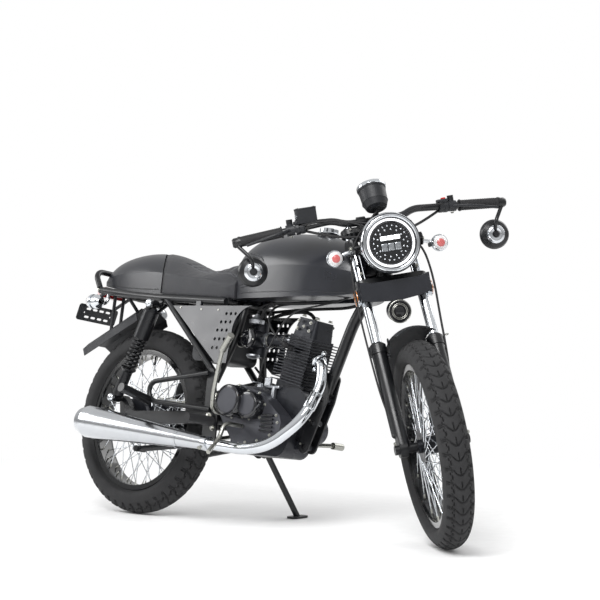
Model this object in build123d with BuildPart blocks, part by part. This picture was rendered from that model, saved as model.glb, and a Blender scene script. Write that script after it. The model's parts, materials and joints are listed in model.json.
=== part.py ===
from build123d import *
import math
import os

# Cafe racer motorcycle, in millimetres.
# Every piece is drawn with the machine upright and steering straight ahead: +X forward, +Y to the
# rider's left, +Z up, the floor at Z 0 and the rear axle above the origin. The last section turns the
# fork to its right-hand stop, leans the machine on its side stand and centres it on the floor.

# Stance: wheelbase, steering geometry and lean, lengths in millimetres and angles in degrees
WHEELBASE = 1290
TRAIL = 85
RAKE = 25.2
LEAN = 9.7
STEER_LOCK = 42

# Gaps: between faces that seat, between faces that turn, and how far a cut runs past a face
SEAT_GAP = 0.3
RUN_GAP = 0.5
OVERRUN = 5
BEND_SHARE = 0.45
PITCH_STEPS = 8

# Tyres and rims: tread radius, crown radius, rim lip and well
FRONT_RADIUS = 308
REAR_RADIUS = 316
FRONT_CROWN = 45
REAR_CROWN = 53
TYRE_WALL = 9
RIM_RADIUS = 240.5
RIM_WELL = 222
RIM_WALL = 4
FRONT_RIM_HALF = 31
REAR_RIM_HALF = 37

# Spokes: crossed pairs on each side of each wheel
SPOKE_RADIUS = 1.5
SPOKE_PAIRS = 18
SPOKE_SWEEP = 50
SPOKE_LIFT = 3.2
SPOKE_BITE = 2
NIPPLE_OUTER_Y = 15
NIPPLE_INNER_Y = 9

# Hubs: flanges that hold the spokes, barrel between them, axle through them
FLANGE_THICKNESS = 6
FLANGE_MARGIN = 5
FRONT_FLANGE_Y = 30
FRONT_FLANGE_RADIUS = 52
FRONT_BARREL_RADIUS = 27
REAR_FLANGE_Y = 36
REAR_FLANGE_RADIUS = 78
REAR_BARREL_RADIUS = 66
HUB_NOSE_RADIUS = 20
FRONT_HUB_HALF = 46
AXLE_RADIUS = 8
AXLE_NUT_RADIUS = 14
AXLE_NUT_LENGTH = 12
AXLE_LUG_HALF = 12

# Brakes: disc on the front wheel's left, drum panel on the rear wheel's right
DISC_RADIUS = 128
DISC_BORE = 34
DISC_THICKNESS = 4
DISC_Y = 50
DISC_HOLES = 12
DISC_HOLE_RADIUS = 5
DISC_HOLE_RING = 105
CALIPER_LENGTH = 82
CALIPER_HEIGHT = 52
CALIPER_WIDTH = 44
CALIPER_SLOT = 14
CALIPER_LUG = 5
CALIPER_ANGLE = 159
PANEL_RADIUS = 70
PANEL_THICKNESS = 14
PANEL_GAP = 5
BRAKE_ARM_LENGTH = 88
BRAKE_ARM_WIDTH = 18
BRAKE_ARM_SHARE = 0.6

# Final drive: chain line, sprockets and chain
CHAIN_Y = 68
CHAIN_PITCH = 12.7
CHAIN_HALF_HEIGHT = 5.5
CHAIN_HALF_WIDTH = 7
REAR_TEETH = 41
FRONT_TEETH = 15
SPROCKET_THICKNESS = 6
DRIVE_X = 500
DRIVE_Z = 340

# Fork: legs beside the steering axis
LEG_HALF = 88
STANCHION_RADIUS = 15.5
SLIDER_RADIUS = 23
COLLAR_RADIUS = 26
COLLAR_LENGTH = 28
SLIDER_TOP = 646
SLIDER_DEPTH = 90
AXLE_LUG_RADIUS = 24
FORK_TOP = 1040
HEAD_LOW = 859
HEAD_HIGH = 1018
HEAD_RADIUS = 25
HEAD_BORE = 13
STEM_RADIUS = 12
CLAMP_RADIUS = 26
STEM_CLAMP_RADIUS = 18
LOWER_CLAMP_THICKNESS = 34
UPPER_CLAMP_THICKNESS = 18

# Cover and horn in front of the lower yoke
YOKE_COVER_X = 1099
YOKE_COVER_DEPTH = 30
YOKE_COVER_LOW_Z = 732
YOKE_COVER_HIGH_Z = 804
YOKE_COVER_HALF = 108
YOKE_COVER_VEE = 8
COVER_WAIST_SHARE = 0.7
HORN_RADIUS = 34
COVER_GRIP = 12

# Frame tubes
TUBE_RADIUS = 18
RAIL_RADIUS = 12
STAY_RADIUS = 11
BACKBONE_RADIUS = 19
BACKBONE_S = 925
PIVOT_X = 425
PIVOT_Z = 335
REAR_JOINT_X = 452
DOWNTUBE_S = 893
KNEE_X = 900
KNEE_Z = 690
DOWNTUBE_FOOT_X = 813
DOWNTUBE_FOOT_Z = 442
HANGER_X = 812
HANGER_Z = 418
HANGER_FOOT_X = 757
HANGER_FOOT_Z = 268
HANGER_RADIUS = 21
HANGER_HOLES = 3
HANGER_HOLE_RADIUS = 8.5
POST_TOP_HALF = 40
POST_HALF = 62
POST_KNEE_X = 446
POST_KNEE_Z = 600
POST_FOOT_Z = 450
PLATE_THICKNESS = 6
PLATE_Y = 111
PIVOT_PLATE_RADIUS = 28
STAND_PLATE_RADIUS = 16
ENGINE_BOLT = 6
ENGINE_BOLT_X = 437
ENGINE_BOLT_Z = 402
STAY_X = 401
STAY_Z = 476
STAY_TOP_X = 135
RAIL_HALF = 110
RAIL_MID_X = 56
RAIL_REAR_X = -229
RAIL_FRONT_Z = 712
RAIL_MID_Z = 727
RAIL_REAR_Z = 756
RAIL_REAR_HALF = 90
HOOP_RADIUS = 10
HOOP_X = -272
HOOP_Z = 826
SHOCK_TOP_X = 111
SHOCK_TOP_Z = 699
SHOCK_FOOT_X = -21
SHOCK_FOOT_Z = 376
SHOCK_Y = 135

# Swing arm
ARM_HALF = 95
ARM_WIDTH = 25
ARM_HEIGHT = 42
ARM_TUBE_RADIUS = 20

# Shock absorbers
COVER_RADIUS = 27
COVER_LENGTH = 112
DAMPER_RADIUS = 19
DAMPER_LENGTH = 100
SPRING_WIRE = 4
SPRING_RADIUS = 24
SPRING_COILS = 7
EYE_RADIUS = 13
EYE_WIDTH = 22
SHOCK_ROD_RADIUS = 8

# Engine
CASE_REAR_X = 470
CASE_FRONT_X = 778
CASE_LOW_Z = 228
CASE_HIGH_Z = 446
CASE_HALF = 58
CYLINDER_TILT = 11
CYLINDER_X = 690
CYLINDER_Z = 440
FIN_SIZE = 138
FIN_THICKNESS = 2.6
FIN_PITCH = 9.5
FIN_CORE = 98
BARREL_FINS = 7
HEAD_FINS = 9
ROCKER_HEIGHT = 58
ROCKER_TAPER = 8
ROCKER_CORNER_SHARE = 0.18
CASE_CORNER_SHARE = 0.2
CASE_CHIN_X = 672
DECK_HEIGHT = 22
CLUTCH_X = 539
CLUTCH_Z = 388
CLUTCH_RADIUS = 50
CLUTCH_Y = 165
STARTER_X = 613
STARTER_Z = 378
STARTER_RADIUS = 42
STARTER_Y = 150
COVER_Y = 112
COVER_LIP = 6
COVER_FRONT_X = 692
COVER_FRONT_Z = 326
COVER_LOW_X = 560
COVER_LOW_Z = 292
GENERATOR_X = 645
GENERATOR_Z = 356
GENERATOR_RADIUS = 58
GENERATOR_Y = 126
CARB_X = 520
CARB_Z = 598
CARB_RADIUS = 31
CARB_Y = 24
CARB_WIDTH = 56
BOWL_SHARE = 0.72
INTAKE_X = 678
INTAKE_RADIUS = 21
AIRBOX_REAR_X = 268
AIRBOX_FRONT_X = 408
AIRBOX_CORNER = 24
AIRBOX_LOW_Z = 520
AIRBOX_HIGH_Z = 690
AIRBOX_HALF = 82

# Exhaust
PIPE_RADIUS = 18
PIPE_REACH = 368
PIPE_TUCK = 132
PIPE_RISE = 296
MUFFLER_FRONT_X = 464
MUFFLER_FRONT_Y = -160
MUFFLER_FRONT_Z = 246
MUFFLER_REAR_X = -123
MUFFLER_REAR_Y = -190
MUFFLER_REAR_Z = 290
MUFFLER_RADIUS = 54
MUFFLER_NOSE_RADIUS = 22
OUTLET_RADIUS = 17
OUTLET_DEPTH_SHARE = 0.12
# Pipe from the muffler to the head: shares of its reach, tuck and rise
PIPE_SHARES = (
    (0, 0, 0),
    (0.48, 0.04, -0.03),
    (0.71, 0.15, 0.04),
    (0.95, 0.45, 0.33),
    (0.99, 0.83, 0.72),
    (0.95, 0.92, 0.93),
    (0.86, 1, 1),
)
# Muffler: shares of its length and of its radius
MUFFLER_SHARES = (
    (0, 0.4),
    (0.1, 0.46),
    (0.86, 1),
    (0.93, 1),
    (0.98, 0.82),
    (1, 0.6),
)

# Stands
STAND_PIVOT_X = 410
STAND_PIVOT_Z = 255
STAND_LEG = 290
STAND_DROOP = 8.5
STAND_HALF = 70
STAND_FOOT_HALF = 130
STAND_TUBE = 10
STAND_BOLT = 6
STAND_WALL = 3
STAND_BRACE_SHARE = 0.3
SIDE_PIVOT_X = 440
SIDE_PIVOT_Y = 132
SIDE_PIVOT_Z = 240
SIDE_TUBE = 10
SIDE_EYE_RADIUS = 14
SIDE_EYE_WIDTH = 21
LUG_REACH = 34
# Side stand leg: its direction when down and when folded
SIDE_DOWN_SHARES = (0.2, 0.55, -0.81)
SIDE_FOLDED_SHARES = (-0.98, 0.14, -0.1)
FOOT_LENGTH = 70
FOOT_WIDTH = 42
FOOT_THICKNESS = 6

# Tank
TANK_REAR_X = 448
TANK_FRONT_X = 940
TANK_HALF = 126
TANK_HIGH_Z = 948
TUNNEL_HALF = 30
TANK_GAP = 5
CAP_RADIUS = 30
CAP_HEIGHT = 14
CAP_X = 742
CAP_RIM = 5
CAP_NECK = 30
# Tank sections: shares of length, half width, and of height for base, shoulder and top
TANK_SHARES = (
    (0, 0.72, 0, 0.36, 0.8),
    (0.14, 0.88, 0, 0.42, 0.95),
    (0.4, 1, 0, 0.46, 1),
    (0.7, 0.97, 0.02, 0.44, 0.93),
    (0.9, 0.8, 0.04, 0.4, 0.8),
    (1, 0.62, 0.08, 0.38, 0.68),
)
FOOT_SHARE = 0.95

# Seat and tail: one body, parted by a V-shaped seam
SADDLE_REAR_X = -268
SADDLE_FRONT_X = 444
SADDLE_LOW_Z = 722
SADDLE_HIGH_Z = 896
SADDLE_HALF = 114
SEAM_X = -8
SEAM_SIDE_X = 108
SEAM_RADIUS = 20
# Saddle sections, as the tank's
SADDLE_SHARES = (
    (0, 0.32, 0.333, 0.42, 0.529),
    (0.1, 0.65, 0.264, 0.477, 0.822),
    (0.225, 0.84, 0.195, 0.517, 0.96),
    (0.365, 0.91, 0.138, 0.534, 1),
    (0.511, 0.94, 0.086, 0.517, 0.908),
    (0.607, 0.965, 0.057, 0.46, 0.776),
    (0.685, 0.98, 0.04, 0.42, 0.667),
    (0.84, 0.98, 0.017, 0.362, 0.644),
    (1, 0.84, 0, 0.316, 0.632),
)

# Side panels: a plate that leans outwards to its foot
SIDE_TOP_Z = 696
SIDE_LOW_Z = 508
SIDE_TOP_Y = 121
SIDE_LOW_Y = 134
SIDE_REAR_X = 191
SIDE_FRONT_X = 564
SIDE_FOOT_REAR_X = 434
SIDE_FOOT_FRONT_X = 485
SIDE_THICKNESS = 4
SIDE_WAIST_X = 487
SIDE_WAIST_Z = 613
SIDE_BOW_X = 508
SIDE_BOW_Z = 670
SIDE_HOLE_RADIUS = 5.5
SIDE_HOLE_PITCH = 21
SIDE_HOLES = 3
# First hole of each row: shares of the panel's length and height
SIDE_HOLE_SHARES = (
    (0.694, 0.14),
    (0.646, 0.287),
    (0.617, 0.43),
    (0.603, 0.585),
    (0.592, 0.74),
)
TAB_X = 300
TAB_WIDTH = 22

# Mudguards
GUARD_GAP = 42
GUARD_HALF = 60
GUARD_CROWN = 22
GUARD_THICKNESS = 3
GUARD_FRONT = 86
GUARD_REAR = 158
GUARD_MOUNT = 113
GUARD_MOUNT_S = 612
GUARD_MOUNT_RADIUS = 9
GUARD_PIN = 5
REAR_GUARD_HALF = 72
REAR_GUARD_TOP_X = -60
REAR_GUARD_TOP_Z = 700
REAR_GUARD_TIP_X = -318
REAR_GUARD_TIP_Z = 572
REAR_GUARD_DEPTH = 52
GUARD_FLAT_SHARE = 0.55
GUARD_EAR_SHARE = 0.47
PLATE_LEAN_SHARE = 0.3
PLATE_X = -338
PLATE_Z = 682
PLATE_HALF = 90
PLATE_HEIGHT = 60
PLATE_HOLE_RADIUS = 3.3
PLATE_HOLE_HALF = 60
PLATE_SLOTS = 4
PLATE_SLOT_LENGTH = 22
PLATE_SLOT_WIDTH = 8

# Lamps
LAMP_X = 1152
LAMP_Z = 907
LAMP_RADIUS = 89
LAMP_DEPTH = 112
LAMP_RING = 12
LAMP_FACE_RADIUS = 76
LAMP_SHARES = (
    (0, 0.3),
    (0.1, 0.66),
    (0.4, 0.9),
    (1, 0.96),
)
EAR_LOW = 950
EAR_HIGH = 1000
EAR_RADIUS = 20
SIGNAL_RADIUS = 25
SIGNAL_LENGTH = 62
FRONT_SIGNAL_X = 1080
FRONT_SIGNAL_Y = 163
FRONT_SIGNAL_Z = 885
REAR_SIGNAL_X = -180
REAR_SIGNAL_Y = 150
REAR_SIGNAL_Z = 705
SIGNAL_STEM = 6
# Bullet lamp from its tail to its lens: shares of length and radius
SIGNAL_SHARES = (
    (0, 0.35),
    (0.25, 0.8),
    (0.6, 1),
    (0.85, 0.95),
    (1, 0.5),
)
TAIL_LAMP_WIDTH = 96
TAIL_LAMP_HEIGHT = 38
TAIL_LAMP_DEPTH = 32
TAIL_LAMP_X = -262
TAIL_LAMP_Z = 758

# Handlebar and controls
BAR_RADIUS = 11
BAR_X = 968
BAR_Z = 985
BAR_RISE_Z = 1003
BAR_CLAMP_HALF = 88
BAR_BEND_X = 953
BAR_BEND_Y = 130
BAR_CLAMP_Y = 42
GRIP_Y = 282
BAR_END_X = 909
BAR_END_Y = 415
BAR_END_Z = 982
GRIP_RADIUS = 16
PERCH_Y = 258
PERCH_RADIUS = 17
PERCH_WIDTH = 26
LEVER_THICKNESS = 9
LEVER_X = 968
LEVER_KNEE_Y = 300
LEVER_KNEE_Z = 988
LEVER_TIP_X = 950
LEVER_TIP_Y = 402
LEVER_TIP_Z = 967
MIRROR_RADIUS = 47
MIRROR_DEPTH = 26
MIRROR_DROP = 38
# Mirror housing from its round back to its glass: shares of depth and radius
MIRROR_SHARES = (
    (0, 0.4),
    (0.15, 0.66),
    (0.45, 0.9),
    (0.75, 1),
    (1, 1),
)
MIRROR_CAP = 24
MIRROR_CAP_SHARE = 0.7
MIRROR_X = 912
MIRROR_Y = 390
MIRROR_Z = 885
MIRROR_BOSS_RADIUS = 10
MIRROR_THREAD_RADIUS = 5
MIRROR_THREAD_DEPTH = 14
MIRROR_PAD = 7
RESERVOIR_Y = 205
RESERVOIR_TOP_Z = 1052
RESERVOIR_LENGTH = 62
RESERVOIR_WIDTH = 38
SWITCH_Y = 228
SWITCH_RADIUS = 18
SWITCH_WIDTH = 30
GAUGE_RADIUS = 44
GAUGE_X = 1014
GAUGE_Z = 1050
GAUGE_DEPTH = 82
GAUGE_TILT = 28
GAUGE_STEM = 8
GAUGE_AHEAD = 66
# Gauge pod from its foot to its bezel: shares of depth and radius
GAUGE_SHARES = (
    (0, 0.45),
    (0.08, 0.74),
    (0.3, 0.9),
    (0.82, 0.96),
    (0.86, 1),
    (1, 1),
)

# Rests and pedals
PEG_RADIUS = 15
PEG_X = 500
PEG_INNER_Y = 182
PEG_OUTER_Y = 292
PEG_Z = 316
REST_X = 164
REST_OUTER_Y = 282
REST_Z = 372
REST_RISE = 28
LOOP_RADIUS = 8
LOOP_X = 152
LOOP_Y = 150
LOOP_Z = 434
LOOP_FOOT_Z = 358
PEDAL_RADIUS = 7
GRIP_SHARE = 0.75
KICK_X = 476
KICK_Z = 349
KICK_EYE = 14
KICK_REACH = 107
KICK_OUT = 110
KICK_RISE = 237
BRAKE_X = 569
BRAKE_Z = 312
BRAKE_REACH = 26
BRAKE_OUT = 160
BRAKE_RISE = -98
GEAR_X = 618
GEAR_Z = 283
GEAR_REACH = 95
GEAR_OUT = 106
GEAR_RISE = 4
GEAR_TIP = 45
# Pedal routes from their roots: shares of reach, width and rise
KICK_SHARES = (
    (0, 0, 0),
    (0, 0.45, 0),
    (0.06, 0.55, 0.22),
    (0.38, 0.75, 0.64),
    (0.52, 0.81, 0.81),
)
BRAKE_SHARES = (
    (0, 0, 0),
    (0, 0.5, 0),
    (0.1, 0.6, 0.5),
    (1, 1, 1),
)
GEAR_SHARES = (
    (0, 0, 0),
    (0, 0.8, 0),
    (1, 1, 1),
)

# Steering axis and wheel centres
SLOPE = math.radians(RAKE)
AXIS_UP = Vector(-math.sin(SLOPE), 0, math.cos(SLOPE))
AXIS_AHEAD = Vector(math.cos(SLOPE), 0, math.sin(SLOPE))
AXIS_FOOT = Vector(WHEELBASE + TRAIL, 0, 0)
STEER_PLANE = Plane(AXIS_FOOT, x_dir=AXIS_AHEAD, z_dir=AXIS_UP)
FORK_OFFSET = FRONT_RADIUS * math.sin(SLOPE) - TRAIL * math.cos(SLOPE)
AXLE_S = FRONT_RADIUS * math.cos(SLOPE) + TRAIL * math.sin(SLOPE)
FRONT_CENTRE = Vector(WHEELBASE, 0, FRONT_RADIUS)
REAR_CENTRE = Vector(0, 0, REAR_RADIUS)
ACROSS = Vector(0, 1, 0)
FRONT_AXLE_HALF = LEG_HALF + AXLE_LUG_HALF + SEAT_GAP + AXLE_NUT_LENGTH
REAR_AXLE_HALF = ARM_HALF + ARM_WIDTH / 2 + SEAT_GAP + AXLE_NUT_LENGTH
RAIL_FRONT_X = REAR_JOINT_X - 2 * RAIL_RADIUS - SEAT_GAP
REAR_JOINT_Z = RAIL_FRONT_Z + RAIL_RADIUS + BACKBONE_RADIUS + 3 * SEAT_GAP
RAIL_FRONT = Vector(RAIL_FRONT_X, RAIL_HALF, RAIL_FRONT_Z)
RAIL_MID = Vector(RAIL_MID_X, RAIL_HALF, RAIL_MID_Z)
RAIL_REAR = Vector(RAIL_REAR_X, RAIL_REAR_HALF, RAIL_REAR_Z)
POST_TOP_Z = RAIL_FRONT_Z
TANK_LOW_Z = POST_TOP_Z + RAIL_RADIUS + SEAT_GAP
STAY_HALF = PLATE_Y - PLATE_THICKNESS / 2 - STAY_RADIUS - 3 * SEAT_GAP
HANGER_Y = TUBE_RADIUS
EAR_Y = LEG_HALF + EAR_RADIUS
REST_INNER_Y = LOOP_Y
MUFFLER_FRONT = Vector(MUFFLER_FRONT_X, MUFFLER_FRONT_Y, MUFFLER_FRONT_Z)
MUFFLER_REAR = Vector(MUFFLER_REAR_X, MUFFLER_REAR_Y, MUFFLER_REAR_Z)
SHOCK_TOP = Vector(SHOCK_TOP_X, SHOCK_Y, SHOCK_TOP_Z)
SHOCK_FOOT = Vector(SHOCK_FOOT_X, SHOCK_Y, SHOCK_FOOT_Z)
SHOCK_SPAN = (SHOCK_FOOT - SHOCK_TOP).length
DAMPER_START = SHOCK_SPAN - EYE_RADIUS - DAMPER_LENGTH
TILT = math.radians(CYLINDER_TILT)
CYLINDER_PLANE = Plane((CYLINDER_X, 0, CYLINDER_Z), z_dir=(math.sin(TILT), 0, math.cos(TILT)))
RIGHT = -1
LEFT = 1
SIDES = (RIGHT, LEFT)


def rod(start, end, radius, mode=Mode.ADD):
    """Round rod between two places."""
    reach = Vector(end) - Vector(start)
    with BuildSketch(Plane(start, z_dir=reach)) as disc:
        Circle(radius)
    extrude(disc.sketch, amount=reach.length, mode=mode)


def bend_radii(places):
    """Largest easy radius at each corner of a route: its arc takes a share of the shorter run beside it."""
    runs = [Vector(end) - Vector(start) for start, end in zip(places, places[1:])]
    radii = []
    for before, after in zip(runs, runs[1:]):
        half_turn = math.radians(before.get_angle(after)) / 2
        radii.append(BEND_SHARE * min(before.length, after.length) / math.tan(half_turn))
    return radii


def bent_bar(places, radius, mode=Mode.ADD):
    """Round bar along straight runs joined by tangent arcs."""
    with BuildLine() as run:
        FilletPolyline(*places, radius=bend_radii(places))
    with BuildSketch(Plane(run.line @ 0, z_dir=run.line % 0)) as disc:
        Circle(radius)
    sweep(disc.sketch, path=run.line, mode=mode)


def block(low, high, mode=Mode.ADD):
    """Block between its lowest and highest corners."""
    low = Vector(low)
    size = Vector(high) - low
    floor = Plane((low.X + size.X / 2, low.Y + size.Y / 2, low.Z))
    with BuildSketch(floor) as base:
        Rectangle(size.X, size.Y)
    extrude(base.sketch, amount=size.Z, mode=mode)


def turned(start, end, stations, mode=Mode.ADD):
    """Turned piece on the line from start to end; stations are (distance along, radius)."""
    reach = Vector(end) - Vector(start)
    level = Plane(start, z_dir=reach)
    half = Plane(start, x_dir=level.x_dir, z_dir=level.y_dir * -1)
    first = stations[0][0]
    last = stations[-1][0]
    outline = [(0, first)] + [(radius, along) for along, radius in stations] + [(0, last)]
    with BuildSketch(half) as section:
        with BuildLine():
            Polyline(*outline, close=True)
        make_face()
    revolve(section.sketch, axis=Axis(start, reach), mode=mode)


def plate(plane, outline, thickness, mode=Mode.ADD):
    """Flat plate from a closed outline, centred on its plane."""
    with BuildSketch(plane) as face:
        with BuildLine():
            Polyline(*outline, close=True)
        make_face()
    extrude(face.sketch, amount=thickness / 2, both=True, mode=mode)


def hulled(plane, discs, thickness, mode=Mode.ADD):
    """Plate with a taut outline round its discs, given as (x, y, radius), centred on its plane."""
    with BuildSketch(plane) as face:
        with BuildLine():
            for x, y, radius in discs:
                CenterArc((x, y), radius, 0, 360)
        make_hull()
    extrude(face.sketch, amount=thickness / 2, both=True, mode=mode)


def mirrored(place, side):
    """Place on the left, or its mirror image on the right."""
    place = Vector(place)
    return Vector(place.X, side * place.Y, place.Z)


def side_plane(across):
    """Upright plane along the machine: local X forward, local Y up."""
    return Plane((0, across, 0), x_dir=(1, 0, 0), z_dir=(0, -1, 0))


def wheel_plane(centre):
    """Section plane of a wheel: local X across, local Y up from the axle."""
    return Plane(centre, x_dir=(0, 1, 0), z_dir=(1, 0, 0))


def leg(side, along):
    """Place on a fork leg's centre line, measured along the steering axis."""
    return STEER_PLANE.from_local_coords(Vector(FORK_OFFSET, side * LEG_HALF, along))


def steer(ahead, across, along):
    """Place in the fork's own frame: ahead of the steering axis, across, and up along it."""
    return STEER_PLANE.from_local_coords(Vector(ahead, across, along))


def moved(location, place):
    """Place after a move."""
    return (location * Location(place)).position


def turn_about(axis, angle):
    """Move that turns things about an axis."""
    home = Location(axis.position)
    return home * Location((0, 0, 0), axis.direction, angle) * home.inverse()


def tyre_low(location, centre, radius, crown):
    """Height of a round-crowned tyre's lowest point after a move."""
    middle = moved(location, centre)
    axle = moved(location, centre + ACROSS) - middle
    return middle.Z - (radius - crown) * math.sqrt(1 - axle.Z**2) - crown


def stance():
    """Lean and pitch that put both tyres on one level, with the fork on its stop."""
    lean = turn_about(Axis((0, 0, 0), (1, 0, 0)), -LEAN)
    pitch = 0
    for _ in range(PITCH_STEPS):
        settled = lean * turn_about(Axis(REAR_CENTRE, ACROSS), pitch)
        front = tyre_low(settled * STEER_TURN, FRONT_CENTRE, FRONT_RADIUS, FRONT_CROWN)
        rear = tyre_low(settled, REAR_CENTRE, REAR_RADIUS, REAR_CROWN)
        pitch += math.degrees(math.atan((front - rear) / WHEELBASE))
    return settled


def place_in(origin, sizes, shares):
    """Place given as shares of three sizes from an origin."""
    return Vector(origin) + Vector(*(size * share for size, share in zip(sizes, shares)))


def boss(start, end, radius):
    """Round boss with a chamfered face."""
    length = (Vector(end) - Vector(start)).length
    bevel = COVER_LIP / 2
    turned(start, end, [(0, radius), (length - bevel, radius), (length, radius - bevel)])


def lofted(rear_x, front_x, half, low_z, high_z, table):
    """Body lofted along the machine; each section has a flat base, flared sides and an arched top."""
    height = high_z - low_z
    sections = []
    for along, across, low, shoulder, high in table:
        station = Plane((rear_x + (front_x - rear_x) * along, 0, 0), x_dir=(0, 1, 0), z_dir=(1, 0, 0))
        wide = half * across
        base = low_z + height * low
        brow = low_z + height * shoulder
        with BuildSketch(station) as section:
            with BuildLine():
                Polyline(
                    (-wide, brow),
                    (-wide * FOOT_SHARE, base),
                    (wide * FOOT_SHARE, base),
                    (wide, brow),
                )
                ThreePointArc((wide, brow), (0, low_z + height * high), (-wide, brow))
            make_face()
        sections.append(section.sketch.faces()[0])
    loft(sections=sections)


def saddle():
    """Seat and tail as one body."""
    lofted(SADDLE_REAR_X, SADDLE_FRONT_X, SADDLE_HALF, SADDLE_LOW_Z, SADDLE_HIGH_Z, SADDLE_SHARES)


def seam(gap, mode):
    """Cuts or keeps what lies ahead of the seam, which is moved ahead by a gap."""
    wide = 2 * SADDLE_HALF
    flank = SEAM_X + 2 * (SEAM_SIDE_X - SEAM_X) + gap
    ahead = SADDLE_FRONT_X + OVERRUN
    with BuildSketch() as region:
        with BuildLine():
            FilletPolyline((flank, -wide), (SEAM_X + gap, 0), (flank, wide), radius=SEAM_RADIUS)
            Polyline((flank, wide), (ahead, wide), (ahead, -wide), (flank, -wide))
        make_face()
    extrude(region.sketch, amount=2 * SADDLE_HIGH_Z, mode=mode)


def let_in_rails():
    """Lets the seat rails and their cross tubes into a base that rests on them."""
    for side in SIDES:
        rail = [mirrored(place, side) for place in (RAIL_FRONT, RAIL_MID, RAIL_REAR)]
        bent_bar(rail, RAIL_RADIUS + SEAT_GAP, Mode.SUBTRACT)
    for place in (RAIL_FRONT, RAIL_MID, RAIL_REAR):
        rod(mirrored(place, RIGHT), place, STAY_RADIUS + SEAT_GAP, Mode.SUBTRACT)


def fins(start, count):
    """Square finned block on the cylinder's axis."""
    length = count * FIN_PITCH
    with BuildSketch(CYLINDER_PLANE.offset(start)) as core:
        Rectangle(FIN_CORE, FIN_CORE)
    extrude(core.sketch, amount=length)
    with BuildSketch(*(CYLINDER_PLANE.offset(start + FIN_PITCH * fin) for fin in range(count))) as leaves:
        Rectangle(FIN_SIZE, FIN_SIZE)
    extrude(leaves.sketch, amount=FIN_THICKNESS)


def signal(centre):
    """Bullet signal lamp."""
    nose = Vector(SIGNAL_LENGTH / 2, 0, 0)
    stations = [(SIGNAL_LENGTH * along, SIGNAL_RADIUS * across) for along, across in SIGNAL_SHARES]
    turned(centre - nose, centre + nose, stations)


def bar_place(side, across):
    """Place on the handlebar's outer run."""
    share = (across - BAR_BEND_Y) / (BAR_END_Y - BAR_BEND_Y)
    start = Vector(BAR_BEND_X, BAR_BEND_Y, BAR_RISE_Z)
    return mirrored(start + (Vector(BAR_END_X, BAR_END_Y, BAR_END_Z) - start) * share, side)


def thread_place(side):
    """Foot of the mirror thread, on the lever perch's pad."""
    return bar_place(side, PERCH_Y) + Vector(0, 0, BAR_RADIUS + 2 * RUN_GAP + MIRROR_PAD + SEAT_GAP)


def sleeve(side, inner, outer, radius):
    """Sleeve round the handlebar between two distances across."""
    rod(bar_place(side, inner), bar_place(side, outer), radius)
    bore = BAR_RADIUS + SEAT_GAP
    rod(bar_place(side, inner - OVERRUN), bar_place(side, outer + OVERRUN), bore, Mode.SUBTRACT)


def tyre(centre, radius, crown, rim_half):
    """Horseshoe carcass: round crown, straight walls, beads seated inside the rim lips."""
    ring = radius - crown
    bead = rim_half - RIM_WALL - SEAT_GAP
    bed = RIM_WELL + RIM_WALL + SEAT_GAP
    lip = RIM_RADIUS + SEAT_GAP
    cavity = crown - TYRE_WALL
    with BuildSketch(wheel_plane(centre)) as section:
        with BuildLine():
            Polyline((crown, ring), (bead, lip), (bead, bed), (bead - TYRE_WALL, bed), (cavity, ring))
            mirror(about=Plane.YZ)
            ThreePointArc((crown, ring), (0, radius), (-crown, ring))
            ThreePointArc((cavity, ring), (0, ring + cavity), (-cavity, ring))
        make_face()
    revolve(section.sketch, axis=Axis(centre, ACROSS))


def rim(centre, half):
    """Rim channel: two lips and a narrower well."""
    bed = RIM_WELL + RIM_WALL
    shoulder = RIM_WELL + RIM_WALL / 2
    well = half - 2 * RIM_WALL
    with BuildSketch(wheel_plane(centre)) as section:
        with BuildLine():
            Polyline(
                (half - RIM_WALL, bed),
                (half - RIM_WALL, RIM_RADIUS),
                (half, RIM_RADIUS),
                (half, shoulder),
                (well, RIM_WELL),
                (-well, RIM_WELL),
                (-half, shoulder),
                (-half, RIM_RADIUS),
                (RIM_WALL - half, RIM_RADIUS),
                (RIM_WALL - half, bed),
                close=True,
            )
        make_face()
    revolve(section.sketch, axis=Axis(centre, ACROSS))


def spoke_end(centre, radius, angle, across):
    """Place on a ring about a wheel's axle."""
    turn = math.radians(angle)
    return centre + Vector(radius * math.cos(turn), across, radius * math.sin(turn))


def spokes(centre, flange_y, flange_radius):
    """Crossed spokes: on each side one set pulls forward outside its flange, one back inside it."""
    pitch = 360 / SPOKE_PAIRS
    root = flange_radius - FLANGE_MARGIN
    nipple = RIM_WELL + SPOKE_BITE
    sets = (
        (flange_y + SPOKE_LIFT, NIPPLE_OUTER_Y, 0, SPOKE_SWEEP),
        (flange_y - SPOKE_LIFT, NIPPLE_INNER_Y, pitch / 2, -SPOKE_SWEEP),
    )
    for root_y, nipple_y, lag, sweep_angle in sets:
        seats = []
        for side in SIDES:
            for pair in range(SPOKE_PAIRS):
                angle = pitch * pair + pitch / 4 * (1 + side) + lag
                start = spoke_end(centre, root, angle, side * root_y)
                reach = spoke_end(centre, nipple, angle + sweep_angle, side * nipple_y) - start
                seats.append(Plane(start, z_dir=reach).location)
        with Locations(*seats):
            Cylinder(SPOKE_RADIUS, reach.length, align=(Align.CENTER, Align.CENTER, Align.MIN))


def axle_disc(centre, start, end, radius, mode=Mode.ADD):
    """Disc on a wheel's axle between two distances across the machine."""
    rod(centre + ACROSS * start, centre + ACROSS * end, radius, mode)


def sprocket_radius(teeth):
    """Pitch radius of a chain wheel."""
    return CHAIN_PITCH / (2 * math.sin(math.pi / teeth))


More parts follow.
